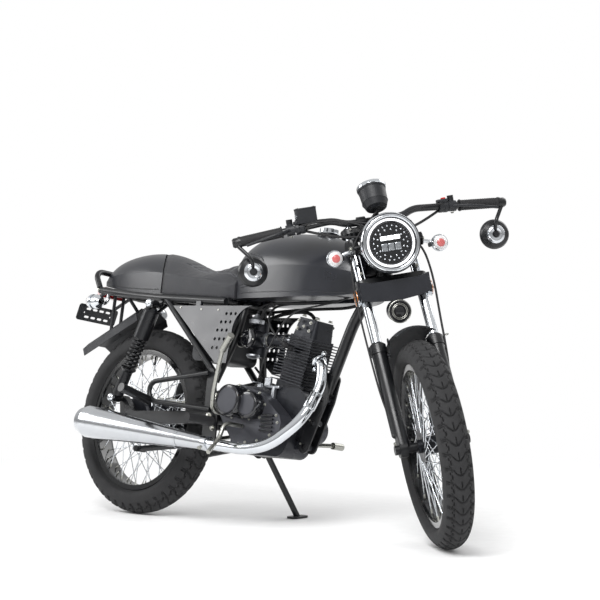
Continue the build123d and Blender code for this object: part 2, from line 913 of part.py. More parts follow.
def toothed(centre, teeth, mode=Mode.ADD):
    """Chain wheel whose tips stay just inside the chain."""
    tip = sprocket_radius(teeth) - CHAIN_HALF_HEIGHT - RUN_GAP
    face = Plane(centre + ACROSS * (CHAIN_Y - SPROCKET_THICKNESS / 2), z_dir=ACROSS)
    with BuildSketch(face) as wheel:
        Circle(tip)
        with PolarLocations(tip, teeth):
            Circle(CHAIN_PITCH / 4, mode=Mode.SUBTRACT)
    extrude(wheel.sketch, amount=SPROCKET_THICKNESS, mode=mode)


# Stance and side stand, which the stance sets
STEER_TURN = turn_about(Axis(AXIS_FOOT, AXIS_UP), -STEER_LOCK)
STANCE = stance()
FLOOR_Z = tyre_low(STANCE, REAR_CENTRE, REAR_RADIUS, REAR_CROWN)
FLOOR_UP = moved(STANCE.inverse(), Vector(0, 0, 1)) - moved(STANCE.inverse(), Vector(0, 0, 0))
SIDE_PIVOT = Vector(SIDE_PIVOT_X, SIDE_PIVOT_Y, SIDE_PIVOT_Z)
SIDE_DOWN = Vector(*SIDE_DOWN_SHARES).normalized()
SIDE_FOLDED = Vector(*SIDE_FOLDED_SHARES).normalized()
SIDE_AXIS = SIDE_DOWN.cross(SIDE_FOLDED).normalized()
SIDE_ROOT = SIDE_PIVOT + SIDE_AXIS * (PLATE_THICKNESS / 2 + RUN_GAP + SIDE_EYE_WIDTH / 2)
SIDE_HEIGHT = moved(STANCE, SIDE_ROOT).Z - FLOOR_Z - FOOT_THICKNESS / 2
SIDE_FOOT = SIDE_ROOT + SIDE_DOWN * (SIDE_HEIGHT / -SIDE_DOWN.dot(FLOOR_UP))

# Front wheel
with BuildPart() as front_tyre:
    tyre(FRONT_CENTRE, FRONT_RADIUS, FRONT_CROWN, FRONT_RIM_HALF)

with BuildPart() as front_rim:
    rim(FRONT_CENTRE, FRONT_RIM_HALF)

with BuildPart() as front_spokes:
    spokes(FRONT_CENTRE, FRONT_FLANGE_Y, FRONT_FLANGE_RADIUS)

with BuildPart() as front_hub:
    axle_disc(FRONT_CENTRE, -FRONT_HUB_HALF, FRONT_HUB_HALF, HUB_NOSE_RADIUS)
    axle_disc(FRONT_CENTRE, -FRONT_FLANGE_Y, FRONT_FLANGE_Y, FRONT_BARREL_RADIUS)
    for side in SIDES:
        inner = side * (FRONT_FLANGE_Y - FLANGE_THICKNESS / 2)
        outer = side * (FRONT_FLANGE_Y + FLANGE_THICKNESS / 2)
        axle_disc(FRONT_CENTRE, inner, outer, FRONT_FLANGE_RADIUS)
    axle_disc(FRONT_CENTRE, FRONT_HUB_HALF, DISC_Y, DISC_BORE)
    with BuildSketch(Plane(FRONT_CENTRE + ACROSS * DISC_Y, z_dir=ACROSS)) as face:
        Circle(DISC_RADIUS)
        with PolarLocations(DISC_HOLE_RING, DISC_HOLES):
            Circle(DISC_HOLE_RADIUS, mode=Mode.SUBTRACT)
    extrude(face.sketch, amount=DISC_THICKNESS)
    axle_disc(FRONT_CENTRE, -2 * DISC_Y, 2 * DISC_Y, AXLE_RADIUS + SEAT_GAP, Mode.SUBTRACT)

# Rear wheel
with BuildPart() as rear_tyre:
    tyre(REAR_CENTRE, REAR_RADIUS, REAR_CROWN, REAR_RIM_HALF)

with BuildPart() as rear_rim:
    rim(REAR_CENTRE, REAR_RIM_HALF)

with BuildPart() as rear_spokes:
    spokes(REAR_CENTRE, REAR_FLANGE_Y, REAR_FLANGE_RADIUS)

with BuildPart() as rear_hub:
    drum_end = REAR_FLANGE_Y + 2 * FLANGE_THICKNESS
    axle_disc(REAR_CENTRE, -drum_end, REAR_FLANGE_Y, REAR_BARREL_RADIUS)
    for side in SIDES:
        inner = side * (REAR_FLANGE_Y - FLANGE_THICKNESS / 2)
        outer = side * (REAR_FLANGE_Y + FLANGE_THICKNESS / 2)
        axle_disc(REAR_CENTRE, inner, outer, REAR_FLANGE_RADIUS)
    axle_disc(REAR_CENTRE, REAR_FLANGE_Y, CHAIN_Y - SPROCKET_THICKNESS / 2, FRONT_FLANGE_RADIUS)
    toothed(REAR_CENTRE, REAR_TEETH)
    axle_disc(REAR_CENTRE, -2 * CHAIN_Y, 2 * CHAIN_Y, AXLE_RADIUS + SEAT_GAP, Mode.SUBTRACT)

with BuildPart() as rear_brake:
    panel_y = -(drum_end + PANEL_GAP)
    axle_disc(REAR_CENTRE, panel_y, panel_y - PANEL_THICKNESS, PANEL_RADIUS)
    arm_plane = side_plane(panel_y - PANEL_THICKNESS - PLATE_THICKNESS / 2)
    arm_top = PANEL_RADIUS * BRAKE_ARM_SHARE
    arm_half = BRAKE_ARM_WIDTH / 2
    plate(
        arm_plane,
        [
            (-arm_half, REAR_RADIUS - arm_top),
            (arm_half, REAR_RADIUS - arm_top),
            (arm_half + arm_half, REAR_RADIUS - arm_top - BRAKE_ARM_LENGTH / 2),
            (arm_half, REAR_RADIUS - arm_top - BRAKE_ARM_LENGTH / 2),
        ],
        PLATE_THICKNESS,
    )
    axle_disc(REAR_CENTRE, CHAIN_Y + SPROCKET_THICKNESS, ARM_HALF - ARM_WIDTH / 2 - SEAT_GAP, AXLE_NUT_RADIUS)
    axle_disc(REAR_CENTRE, -REAR_AXLE_HALF, REAR_AXLE_HALF, AXLE_RADIUS)
    for side in SIDES:
        inner = side * (REAR_AXLE_HALF - AXLE_NUT_LENGTH)
        axle_disc(REAR_CENTRE, inner, side * REAR_AXLE_HALF, AXLE_NUT_RADIUS)

with BuildPart() as drive_chain:
    rear_pitch = sprocket_radius(REAR_TEETH)
    front_pitch = sprocket_radius(FRONT_TEETH)
    for height, mode in ((CHAIN_HALF_HEIGHT, Mode.ADD), (-CHAIN_HALF_HEIGHT, Mode.SUBTRACT)):
        ends = [
            (0, REAR_RADIUS, rear_pitch + height),
            (DRIVE_X, DRIVE_Z, front_pitch + height),
        ]
        hulled(side_plane(CHAIN_Y), ends, 2 * CHAIN_HALF_WIDTH, mode)
    toothed(Vector(DRIVE_X, 0, DRIVE_Z), FRONT_TEETH)
    rod((DRIVE_X, CASE_HALF + SEAT_GAP, DRIVE_Z), (DRIVE_X, CHAIN_Y, DRIVE_Z), AXLE_RADIUS)

with BuildPart() as swing_arm:
    for side in SIDES:
        arm_plane = side_plane(side * ARM_HALF)
        ends = [
            (PIVOT_X, PIVOT_Z, ARM_HEIGHT / 2),
            (0, REAR_RADIUS, ARM_HEIGHT / 2),
        ]
        hulled(arm_plane, ends, ARM_WIDTH)
        lug = [
            (SHOCK_FOOT_X, SHOCK_FOOT_Z, EYE_RADIUS),
            (0, REAR_RADIUS, ARM_HEIGHT / 2),
            (ARM_HEIGHT, REAR_RADIUS, ARM_HEIGHT / 3),
        ]
        hulled(arm_plane, lug, ARM_WIDTH)
        foot = Vector(SHOCK_FOOT_X, side * ARM_HALF, SHOCK_FOOT_Z)
        rod(foot, foot + ACROSS * side * (SHOCK_Y - ARM_HALF + EYE_WIDTH), SHOCK_ROD_RADIUS)
    rod((PIVOT_X, -ARM_HALF, PIVOT_Z), (PIVOT_X, ARM_HALF, PIVOT_Z), ARM_TUBE_RADIUS)
    wide = 2 * ARM_HALF
    bolt_hole = AXLE_RADIUS + SEAT_GAP
    rod((PIVOT_X, -wide, PIVOT_Z), (PIVOT_X, wide, PIVOT_Z), bolt_hole, Mode.SUBTRACT)
    axle_disc(REAR_CENTRE, -wide, wide, bolt_hole, Mode.SUBTRACT)

# Frame
with BuildPart() as head_tube:
    rod(steer(0, 0, HEAD_LOW), steer(0, 0, HEAD_HIGH), HEAD_RADIUS)
    rod(steer(0, 0, BACKBONE_S), (REAR_JOINT_X, 0, REAR_JOINT_Z), BACKBONE_RADIUS)
    rod(steer(0, 0, HEAD_LOW), steer(0, 0, HEAD_HIGH), HEAD_BORE, Mode.SUBTRACT)

with BuildPart() as downtube:
    foot = Vector(DOWNTUBE_FOOT_X, 0, DOWNTUBE_FOOT_Z)
    bent_bar([steer(0, 0, DOWNTUBE_S), Vector(KNEE_X, 0, KNEE_Z), foot], TUBE_RADIUS)
    rod(steer(0, 0, 0), steer(0, 0, FORK_TOP), HEAD_RADIUS + SEAT_GAP, Mode.SUBTRACT)
    collar = foot + (Vector(KNEE_X, 0, KNEE_Z) - foot).normalized() * (2 * HANGER_RADIUS)
    hanger = [
        (HANGER_X, HANGER_Z, HANGER_RADIUS),
        (HANGER_FOOT_X, HANGER_FOOT_Z, HANGER_RADIUS),
        (collar.X, collar.Z, TUBE_RADIUS),
    ]
    for side in SIDES:
        face = side_plane(side * HANGER_Y)
        hulled(face, hanger, PLATE_THICKNESS)
        for step in range(HANGER_HOLES):
            share = step / (HANGER_HOLES - 1)
            hole_x = HANGER_X + (HANGER_FOOT_X - HANGER_X) * share
            hole_z = HANGER_Z + (HANGER_FOOT_Z - HANGER_Z) * share
            hole_y = side * HANGER_Y
            near = Vector(hole_x, hole_y - PLATE_THICKNESS, hole_z)
            rod(near, near + ACROSS * (2 * PLATE_THICKNESS), HANGER_HOLE_RADIUS, Mode.SUBTRACT)
    for x, z in ((HANGER_X, HANGER_Z), (HANGER_FOOT_X, HANGER_FOOT_Z)):
        rod((x, -HANGER_Y, z), (x, HANGER_Y, z), ENGINE_BOLT)

with BuildPart() as centre_frame:
    for side in SIDES:
        discs = [
            (PIVOT_X, PIVOT_Z, PIVOT_PLATE_RADIUS),
            (STAY_X, STAY_Z, STAND_PLATE_RADIUS),
            (STAND_PIVOT_X, STAND_PIVOT_Z, STAND_PLATE_RADIUS),
            (SIDE_PIVOT_X, SIDE_PIVOT_Z, STAND_PLATE_RADIUS),
        ]
        hulled(side_plane(side * PLATE_Y), discs, PLATE_THICKNESS)
        post = [
            mirrored((REAR_JOINT_X, POST_TOP_HALF, POST_TOP_Z), side),
            mirrored((POST_KNEE_X, POST_HALF, POST_KNEE_Z), side),
            mirrored((PIVOT_X, PLATE_Y, POST_FOOT_Z), side),
        ]
        bent_bar(post, RAIL_RADIUS)
    for x, z, radius in (
        (PIVOT_X, PIVOT_Z, AXLE_RADIUS),
        (STAND_PIVOT_X, STAND_PIVOT_Z, STAND_BOLT),
        (ENGINE_BOLT_X, ENGINE_BOLT_Z, ENGINE_BOLT),
    ):
        rod((x, -PLATE_Y, z), (x, PLATE_Y, z), radius)
    post_ends = [mirrored((REAR_JOINT_X, POST_TOP_HALF, POST_TOP_Z), side) for side in SIDES]
    rod(*post_ends, RAIL_RADIUS)
    hulled(
        Plane(SIDE_PIVOT, x_dir=SIDE_DOWN, z_dir=SIDE_AXIS),
        [(0, 0, SIDE_EYE_RADIUS), (-LUG_REACH, 0, SIDE_EYE_RADIUS)],
        PLATE_THICKNESS,
    )
    rod(SIDE_PIVOT, SIDE_PIVOT + SIDE_AXIS * (PLATE_THICKNESS + SIDE_EYE_WIDTH), STAND_BOLT)

with BuildPart() as seat_rails:
    for side in SIDES:
        rail = [mirrored(place, side) for place in (RAIL_FRONT, RAIL_MID, RAIL_REAR)]
        bent_bar(rail, RAIL_RADIUS)
        stay_top = mirrored((STAY_TOP_X, RAIL_HALF, RAIL_MID_Z), side)
        rod(stay_top, mirrored((STAY_X, STAY_HALF, STAY_Z), side), STAY_RADIUS)
        top = mirrored((SHOCK_TOP_X, RAIL_HALF, SHOCK_TOP_Z), side)
        outer = mirrored((SHOCK_TOP_X, SHOCK_Y + EYE_WIDTH, SHOCK_TOP_Z), side)
        rod(top, outer, SHOCK_ROD_RADIUS)
        lug = [
            (SHOCK_TOP_X, SHOCK_TOP_Z, EYE_RADIUS),
            (SHOCK_TOP_X, RAIL_MID_Z, EYE_RADIUS),
        ]
        hulled(side_plane(side * RAIL_HALF), lug, PLATE_THICKNESS)
    for x, half, z in (
        (RAIL_FRONT_X, RAIL_HALF, RAIL_FRONT_Z),
        (RAIL_MID_X, RAIL_HALF, RAIL_MID_Z),
        (RAIL_REAR_X, RAIL_REAR_HALF, RAIL_REAR_Z),
    ):
        rod((x, -half, z), (x, half, z), STAY_RADIUS)

with BuildPart() as grab_hoop:
    hoop = [
        mirrored(RAIL_REAR, RIGHT),
        (HOOP_X, -RAIL_REAR_HALF, HOOP_Z),
        (HOOP_X, RAIL_REAR_HALF, HOOP_Z),
        RAIL_REAR,
    ]
    bent_bar(hoop, HOOP_RADIUS)
    reach = Vector(0, 2 * RAIL_REAR_HALF, 0)
    cross_tube = Vector(RAIL_REAR_X, 0, RAIL_REAR_Z)
    rod(cross_tube - reach, cross_tube + reach, RAIL_RADIUS + SEAT_GAP, Mode.SUBTRACT)
    for side in SIDES:
        rod(mirrored(RAIL_MID, side), mirrored(RAIL_REAR, side), RAIL_RADIUS + SEAT_GAP, Mode.SUBTRACT)

# Shock absorbers
with BuildPart() as shocks:
    for side in SIDES:
        top = mirrored(SHOCK_TOP, side)
        foot = mirrored(SHOCK_FOOT, side)
        for eye in (top, foot):
            rod(eye - ACROSS * (EYE_WIDTH / 2), eye + ACROSS * (EYE_WIDTH / 2), EYE_RADIUS)
        rod(top, foot, SHOCK_ROD_RADIUS)
        cover_end = EYE_RADIUS + COVER_LENGTH
        cover = [
            (EYE_RADIUS, EYE_RADIUS),
            (2 * EYE_RADIUS, COVER_RADIUS),
            (cover_end, COVER_RADIUS),
        ]
        turned(top, foot, cover)
        damper = [
            (DAMPER_START, COVER_RADIUS),
            (DAMPER_START + SPRING_WIRE, COVER_RADIUS),
            (DAMPER_START + EYE_RADIUS, DAMPER_RADIUS),
            (SHOCK_SPAN - EYE_RADIUS, DAMPER_RADIUS),
        ]
        turned(top, foot, damper)
        for eye in (top, foot):
            hole = SHOCK_ROD_RADIUS + SEAT_GAP
            rod(eye - ACROSS * EYE_WIDTH, eye + ACROSS * EYE_WIDTH, hole, Mode.SUBTRACT)
    coil_start = EYE_RADIUS + COVER_LENGTH + SPRING_WIRE + SEAT_GAP
    coil_reach = DAMPER_START - SPRING_WIRE - SEAT_GAP - coil_start
    coil_radius = SPRING_RADIUS - SPRING_WIRE
    for side in SIDES:
        top = mirrored(SHOCK_TOP, side)
        down = (mirrored(SHOCK_FOOT, side) - top).normalized()
        first = top + down * coil_start
        with BuildLine() as coil:
            Helix(coil_reach / SPRING_COILS, coil_reach, coil_radius, center=first, direction=down)
        with BuildSketch(Plane(coil.line @ 0, z_dir=coil.line % 0)) as wire_disc:
            Circle(SPRING_WIRE)
        sweep(wire_disc.sketch, path=coil.line, is_frenet=True)

# Engine
pipe_sizes = (PIPE_REACH, PIPE_TUCK, PIPE_RISE)
pipe = [place_in(MUFFLER_FRONT, pipe_sizes, shares) for shares in PIPE_SHARES]
with BuildPart() as crankcase:
    low_radius = (CASE_HIGH_Z - CASE_LOW_Z) * CASE_CORNER_SHARE
    case_discs = [
        (CASE_REAR_X + low_radius, CASE_LOW_Z + low_radius, low_radius),
        (CASE_REAR_X + low_radius, CASE_HIGH_Z - low_radius, low_radius),
        (CASE_FRONT_X - low_radius, CASE_HIGH_Z - low_radius, low_radius),
        (CASE_CHIN_X, CASE_LOW_Z + low_radius, low_radius),
    ]
    hulled(side_plane(0), case_discs, 2 * CASE_HALF)
    lug_width = 2 * HANGER_Y - PLATE_THICKNESS - 2 * SEAT_GAP
    for near, far in (
        ((CASE_FRONT_X - low_radius, CASE_HIGH_Z - low_radius), (HANGER_X, HANGER_Z)),
        ((CASE_CHIN_X, CASE_LOW_Z + low_radius), (HANGER_FOOT_X, HANGER_FOOT_Z)),
        ((CASE_REAR_X + low_radius, ENGINE_BOLT_Z), (ENGINE_BOLT_X, ENGINE_BOLT_Z)),
    ):
        hulled(side_plane(0), [(*near, 2 * ENGINE_BOLT), (*far, 2 * ENGINE_BOLT)], lug_width)
        low = Vector(far[0], -CASE_HALF, far[1])
        rod(low, low + ACROSS * (2 * CASE_HALF), ENGINE_BOLT + SEAT_GAP, Mode.SUBTRACT)
    with BuildSketch(CYLINDER_PLANE.offset(-DECK_HEIGHT)) as deck:
        Rectangle(FIN_CORE + DECK_HEIGHT, 2 * CASE_HALF - DECK_HEIGHT)
    extrude(deck.sketch, amount=2 * DECK_HEIGHT)

with BuildPart() as cylinder:
    fins(DECK_HEIGHT + SEAT_GAP, BARREL_FINS)

with BuildPart() as cylinder_head:
    fins(DECK_HEIGHT + 2 * SEAT_GAP + BARREL_FINS * FIN_PITCH, HEAD_FINS)
    head_top = DECK_HEIGHT + 2 * SEAT_GAP + (BARREL_FINS + HEAD_FINS) * FIN_PITCH
    with BuildSketch(CYLINDER_PLANE.offset(head_top)) as rocker:
        RectangleRounded(FIN_CORE, FIN_CORE, FIN_CORE * ROCKER_CORNER_SHARE)
    extrude(rocker.sketch, amount=ROCKER_HEIGHT, taper=ROCKER_TAPER)
    port = (INTAKE_X + SEAT_GAP, -CARB_Y, CARB_Z)
    rod((CARB_X, -CARB_Y, CARB_Z), port, INTAKE_RADIUS + SEAT_GAP, Mode.SUBTRACT)
    bent_bar(pipe, PIPE_RADIUS + SEAT_GAP, Mode.SUBTRACT)

with BuildPart() as engine_covers:
    case_face = CASE_HALF + SEAT_GAP
    depth = COVER_Y - case_face
    cover_discs = [
        (CLUTCH_X, CLUTCH_Z, CLUTCH_RADIUS + COVER_LIP),
        (STARTER_X, STARTER_Z, STARTER_RADIUS + COVER_LIP),
        (COVER_FRONT_X, COVER_FRONT_Z, STARTER_RADIUS),
        (COVER_LOW_X, COVER_LOW_Z, STARTER_RADIUS),
        (KICK_X, KICK_Z, KICK_EYE),
    ]
    hulled(side_plane(-case_face - depth / 2), cover_discs, depth)
    for x, z, radius, reach in (
        (CLUTCH_X, CLUTCH_Z, CLUTCH_RADIUS, CLUTCH_Y),
        (STARTER_X, STARTER_Z, STARTER_RADIUS, STARTER_Y),
    ):
        boss((x, -COVER_Y, z), (x, -reach, z), radius)
    depth = COVER_Y - case_face
    cover_discs = [
        (GENERATOR_X, GENERATOR_Z, GENERATOR_RADIUS + COVER_LIP),
        (COVER_FRONT_X, COVER_FRONT_Z, STARTER_RADIUS),
    ]
    hulled(side_plane(case_face + depth / 2), cover_discs, depth)
    generator = Vector(GENERATOR_X, COVER_Y, GENERATOR_Z)
    boss(generator, generator + ACROSS * (GENERATOR_Y - COVER_Y), GENERATOR_RADIUS)
    chain_side = CHAIN_Y + CHAIN_HALF_WIDTH + OVERRUN
    shell = COVER_Y - chain_side
    shield = [
        (DRIVE_X, DRIVE_Z, front_pitch + COVER_LIP),
        (GENERATOR_X, GENERATOR_Z, GENERATOR_RADIUS),
    ]
    hulled(side_plane(chain_side + shell / 2), shield, shell)

with BuildPart() as intake:
    body = Vector(CARB_X, -CARB_Y, CARB_Z)
    rod(body, body - ACROSS * CARB_WIDTH, CARB_RADIUS)
    bowl = Vector(0, 0, CARB_WIDTH)
    rod(body - bowl, body + bowl, CARB_RADIUS * BOWL_SHARE)
    rod((AIRBOX_FRONT_X + SEAT_GAP, -CARB_Y, CARB_Z), (INTAKE_X, -CARB_Y, CARB_Z), INTAKE_RADIUS)

with BuildPart() as air_box:
    block((AIRBOX_REAR_X, -AIRBOX_HALF, AIRBOX_LOW_Z), (AIRBOX_FRONT_X, AIRBOX_HALF, AIRBOX_HIGH_Z))
    uprights = air_box.edges().filter_by(Axis.Y)
    fillet(uprights, AIRBOX_CORNER)

with BuildPart() as exhaust_header:
    bent_bar(pipe, PIPE_RADIUS)

with BuildPart() as muffler:
    muffler_length = (MUFFLER_REAR - MUFFLER_FRONT).length
    stations = [
        (muffler_length * along, MUFFLER_RADIUS * across)
        for along, across in MUFFLER_SHARES
    ]
    turned(MUFFLER_FRONT, MUFFLER_REAR, stations)
    inside = MUFFLER_REAR + (MUFFLER_FRONT - MUFFLER_REAR) * OUTLET_DEPTH_SHARE
    rod(inside, MUFFLER_REAR, OUTLET_RADIUS, Mode.SUBTRACT)
    mouth = MUFFLER_FRONT + (MUFFLER_REAR - MUFFLER_FRONT) * OUTLET_DEPTH_SHARE
    rod(MUFFLER_FRONT, mouth, PIPE_RADIUS + SEAT_GAP, Mode.SUBTRACT)

with BuildPart() as foot_controls:
    root = (KICK_X, -COVER_Y - SEAT_GAP, KICK_Z)
    sizes = (KICK_REACH, -KICK_OUT, KICK_RISE)
    route = [place_in(root, sizes, shares) for shares in KICK_SHARES]
    bent_bar(route, PEDAL_RADIUS)
    rod(route[-1], place_in(root, sizes, (1, 1, 1)), PEG_RADIUS * GRIP_SHARE)
    root = (BRAKE_X, -COVER_Y - SEAT_GAP, BRAKE_Z)
    sizes = (BRAKE_REACH, -BRAKE_OUT, BRAKE_RISE)
    bent_bar([place_in(root, sizes, shares) for shares in BRAKE_SHARES], PEDAL_RADIUS)
    root = (GEAR_X, CASE_HALF + SEAT_GAP, GEAR_Z)
    sizes = (GEAR_REACH, GEAR_OUT, GEAR_RISE)
    route = [place_in(root, sizes, shares) for shares in GEAR_SHARES]
    bent_bar(route, PEDAL_RADIUS)
    rod(route[-1], route[-1] + ACROSS * GEAR_TIP, PEG_RADIUS * GRIP_SHARE)

with BuildPart() as rider_pegs:
    for side in SIDES:
        inner = mirrored((PEG_X, PEG_INNER_Y, PEG_Z), side)
        rod(inner, mirrored((PEG_X, PEG_OUTER_Y, PEG_Z), side), PEG_RADIUS)
        seat_y = PLATE_Y + PLATE_THICKNESS / 2 + SEAT_GAP
        root = mirrored((PIVOT_X, seat_y, PEG_Z), side)
        rod(root, mirrored((PIVOT_X, PEG_INNER_Y, PEG_Z), side), STAY_RADIUS)
        elbow = mirrored((PIVOT_X, PEG_INNER_Y, PEG_Z), side)
        rod(elbow, inner, STAY_RADIUS)

with BuildPart() as passenger_rests:
    for side in SIDES:
        seat_y = PLATE_Y + PLATE_THICKNESS / 2 + LOOP_RADIUS + SEAT_GAP
        loop = [
            mirrored((STAY_X, seat_y, STAY_Z), side),
            mirrored((LOOP_X, LOOP_Y, LOOP_Z), side),
            mirrored((REST_X, LOOP_Y, REST_Z), side),
            mirrored((PIVOT_X, seat_y, LOOP_FOOT_Z), side),
        ]
        bent_bar(loop, LOOP_RADIUS)
        inner = mirrored((REST_X, REST_INNER_Y, REST_Z), side)
        rod(inner, mirrored((REST_X, REST_OUTER_Y, REST_Z + REST_RISE), side), PEG_RADIUS)

# Stands
with BuildPart() as centre_stand:
    tube_half = PLATE_Y - PLATE_THICKNESS / 2 - RUN_GAP
    pivot = Vector(STAND_PIVOT_X, 0, STAND_PIVOT_Z)
    rod(pivot - ACROSS * tube_half, pivot + ACROSS * tube_half, STAND_TUBE + STAND_WALL)
    droop = math.radians(STAND_DROOP)
    foot_x = STAND_PIVOT_X - STAND_LEG * math.cos(droop)
    foot_z = STAND_PIVOT_Z - STAND_LEG * math.sin(droop)
    for side in SIDES:
        leg_top = mirrored((STAND_PIVOT_X, STAND_HALF, STAND_PIVOT_Z), side)
        leg_end = mirrored((foot_x, STAND_FOOT_HALF, foot_z), side)
        rod(leg_top, leg_end, STAND_TUBE)
        rod(leg_end - ACROSS * (FOOT_WIDTH / 2), leg_end + ACROSS * (FOOT_WIDTH / 2), STAND_TUBE)
    mid_share = STAND_BRACE_SHARE
    mid_x = STAND_PIVOT_X + (foot_x - STAND_PIVOT_X) * mid_share
    mid_z = STAND_PIVOT_Z + (foot_z - STAND_PIVOT_Z) * mid_share
    mid_half = STAND_HALF + (STAND_FOOT_HALF - STAND_HALF) * mid_share
    rod((mid_x, -mid_half, mid_z), (mid_x, mid_half, mid_z), STAND_TUBE)
    bore = STAND_BOLT + RUN_GAP
    rod(pivot - ACROSS * PLATE_Y, pivot + ACROSS * PLATE_Y, bore, Mode.SUBTRACT)

with BuildPart() as side_stand:
    eye = SIDE_ROOT - SIDE_AXIS * (SIDE_EYE_WIDTH / 2)
    rod(eye, eye + SIDE_AXIS * SIDE_EYE_WIDTH, SIDE_EYE_RADIUS)
    rod(SIDE_ROOT, SIDE_FOOT, SIDE_TUBE)
    rod(SIDE_PIVOT, SIDE_PIVOT + SIDE_AXIS * (2 * SIDE_EYE_WIDTH), bore, Mode.SUBTRACT)
    with BuildSketch(Plane(SIDE_FOOT - FLOOR_UP * (FOOT_THICKNESS / 2), z_dir=FLOOR_UP)) as sole:
        RectangleRounded(FOOT_LENGTH, FOOT_WIDTH, FOOT_WIDTH / 4)
    extrude(sole.sketch, amount=FOOT_THICKNESS)

# Tank, seat and tail
with BuildPart() as tank:
    lofted(TANK_REAR_X, TANK_FRONT_X, TANK_HALF, TANK_LOW_Z, TANK_HIGH_Z, TANK_SHARES)
    spine = steer(0, 0, BACKBONE_S)
    joint = Vector(REAR_JOINT_X, 0, REAR_JOINT_Z)
    along = (spine - joint).normalized()
    neck = Vector(CAP_X, 0, TANK_HIGH_Z)
    rod(neck - Vector(0, 0, CAP_NECK), neck, CAP_RADIUS + CAP_RIM)
    across_plane = Plane(joint - along * TANK_HALF, x_dir=(0, 1, 0), z_dir=along)
    with BuildSketch(across_plane) as tunnel:
        Circle(TUNNEL_HALF)
        with Locations((0, -TANK_HALF)):
            Rectangle(2 * TUNNEL_HALF, 2 * TANK_HALF)
    extrude(tunnel.sketch, amount=2 * (TANK_FRONT_X - TANK_REAR_X), mode=Mode.SUBTRACT)
    rod(steer(0, 0, 0), steer(0, 0, FORK_TOP), HEAD_RADIUS + TANK_GAP, Mode.SUBTRACT)

with BuildPart() as filler_cap:
    cap_foot = Vector(CAP_X, 0, TANK_HIGH_Z + SEAT_GAP)
    rod(cap_foot, cap_foot + Vector(0, 0, CAP_HEIGHT), CAP_RADIUS)

with BuildPart() as seat_pad:
    saddle()
    seam(0, Mode.INTERSECT)
    let_in_rails()

with BuildPart() as tail_cowl:
    saddle()
    seam(-SEAT_GAP, Mode.SUBTRACT)
    let_in_rails()

with BuildPart() as side_panels:
    for side in SIDES:
        lean = Vector(0, side * (SIDE_LOW_Y - SIDE_TOP_Y), SIDE_LOW_Z - SIDE_TOP_Z)
        top = Vector(0, side * SIDE_TOP_Y, SIDE_TOP_Z)
        face = Plane(top, x_dir=(1, 0, 0), z_dir=Vector(1, 0, 0).cross(lean * -1))
        drop = -lean.length
        slant = drop / (SIDE_LOW_Z - SIDE_TOP_Z)
        waist = (SIDE_WAIST_X, slant * (SIDE_WAIST_Z - SIDE_TOP_Z))
        bow = (SIDE_BOW_X, slant * (SIDE_BOW_Z - SIDE_TOP_Z))
        holes = [
            (SIDE_REAR_X + (SIDE_FRONT_X - SIDE_REAR_X) * along + SIDE_HOLE_PITCH * hole, drop * down)
            for along, down in SIDE_HOLE_SHARES
            for hole in range(SIDE_HOLES)
        ]
        with BuildSketch(face) as skin:
            with BuildLine():
                Polyline(waist, (SIDE_FOOT_FRONT_X, drop), (SIDE_FOOT_REAR_X, drop))
                Polyline((SIDE_FOOT_REAR_X, drop), (SIDE_REAR_X, 0), (SIDE_FRONT_X, 0))
                ThreePointArc((SIDE_FRONT_X, 0), bow, waist)
            make_face()
            with Locations(*holes):
                Circle(SIDE_HOLE_RADIUS, mode=Mode.SUBTRACT)
        extrude(skin.sketch, amount=SIDE_THICKNESS / 2, both=True)
        tab_y = side * (SIDE_TOP_Y - SIDE_THICKNESS)
        low_y = tab_y - TAB_WIDTH / 4
        tab_end = (TAB_X + TAB_WIDTH, low_y + TAB_WIDTH / 2, RAIL_FRONT_Z)
        block((TAB_X, low_y, SIDE_TOP_Z - TAB_WIDTH), tab_end)
        rail = [mirrored(place, side) for place in (RAIL_FRONT, RAIL_MID)]
        rod(*rail, RAIL_RADIUS + SEAT_GAP, Mode.SUBTRACT)

# Mudguards and what hangs from the tail
with BuildPart() as front_mudguard:
    start = math.radians(GUARD_FRONT)
    radial = Vector(math.cos(start), 0, math.sin(start))
    section_plane = Plane(FRONT_CENTRE, x_dir=(0, 1, 0), z_dir=ACROSS.cross(radial))
    crown = FRONT_RADIUS + GUARD_GAP
    edge = crown - GUARD_CROWN
    inner = GUARD_HALF - GUARD_THICKNESS
    with BuildSketch(section_plane) as section:
        with BuildLine():
            ThreePointArc((GUARD_HALF, edge), (0, crown), (-GUARD_HALF, edge))
            Line((-GUARD_HALF, edge), (-inner, edge))
            ThreePointArc((-inner, edge), (0, crown - GUARD_THICKNESS), (inner, edge))
            Line((inner, edge), (GUARD_HALF, edge))
        make_face()
    revolve(section.sketch, axis=Axis(FRONT_CENTRE, ACROSS * -1), revolution_arc=GUARD_REAR - GUARD_FRONT)
    turn = math.radians(GUARD_MOUNT)
    tab_root = FRONT_CENTRE + Vector(math.cos(turn), 0, math.sin(turn)) * (edge + GUARD_MOUNT_RADIUS)
    for side in SIDES:
        pin = leg(side, GUARD_MOUNT_S)
        tab = [
            (tab_root.X, tab_root.Z, GUARD_MOUNT_RADIUS),
            (pin.X, pin.Z, GUARD_MOUNT_RADIUS),
        ]
        tab_y = side * (inner - GUARD_THICKNESS / 2)
        hulled(side_plane(tab_y), tab, GUARD_THICKNESS)
        rod((pin.X, tab_y, pin.Z), pin, GUARD_PIN)
        rod(leg(side, AXLE_S), leg(side, SLIDER_TOP), SLIDER_RADIUS + SEAT_GAP, Mode.SUBTRACT)

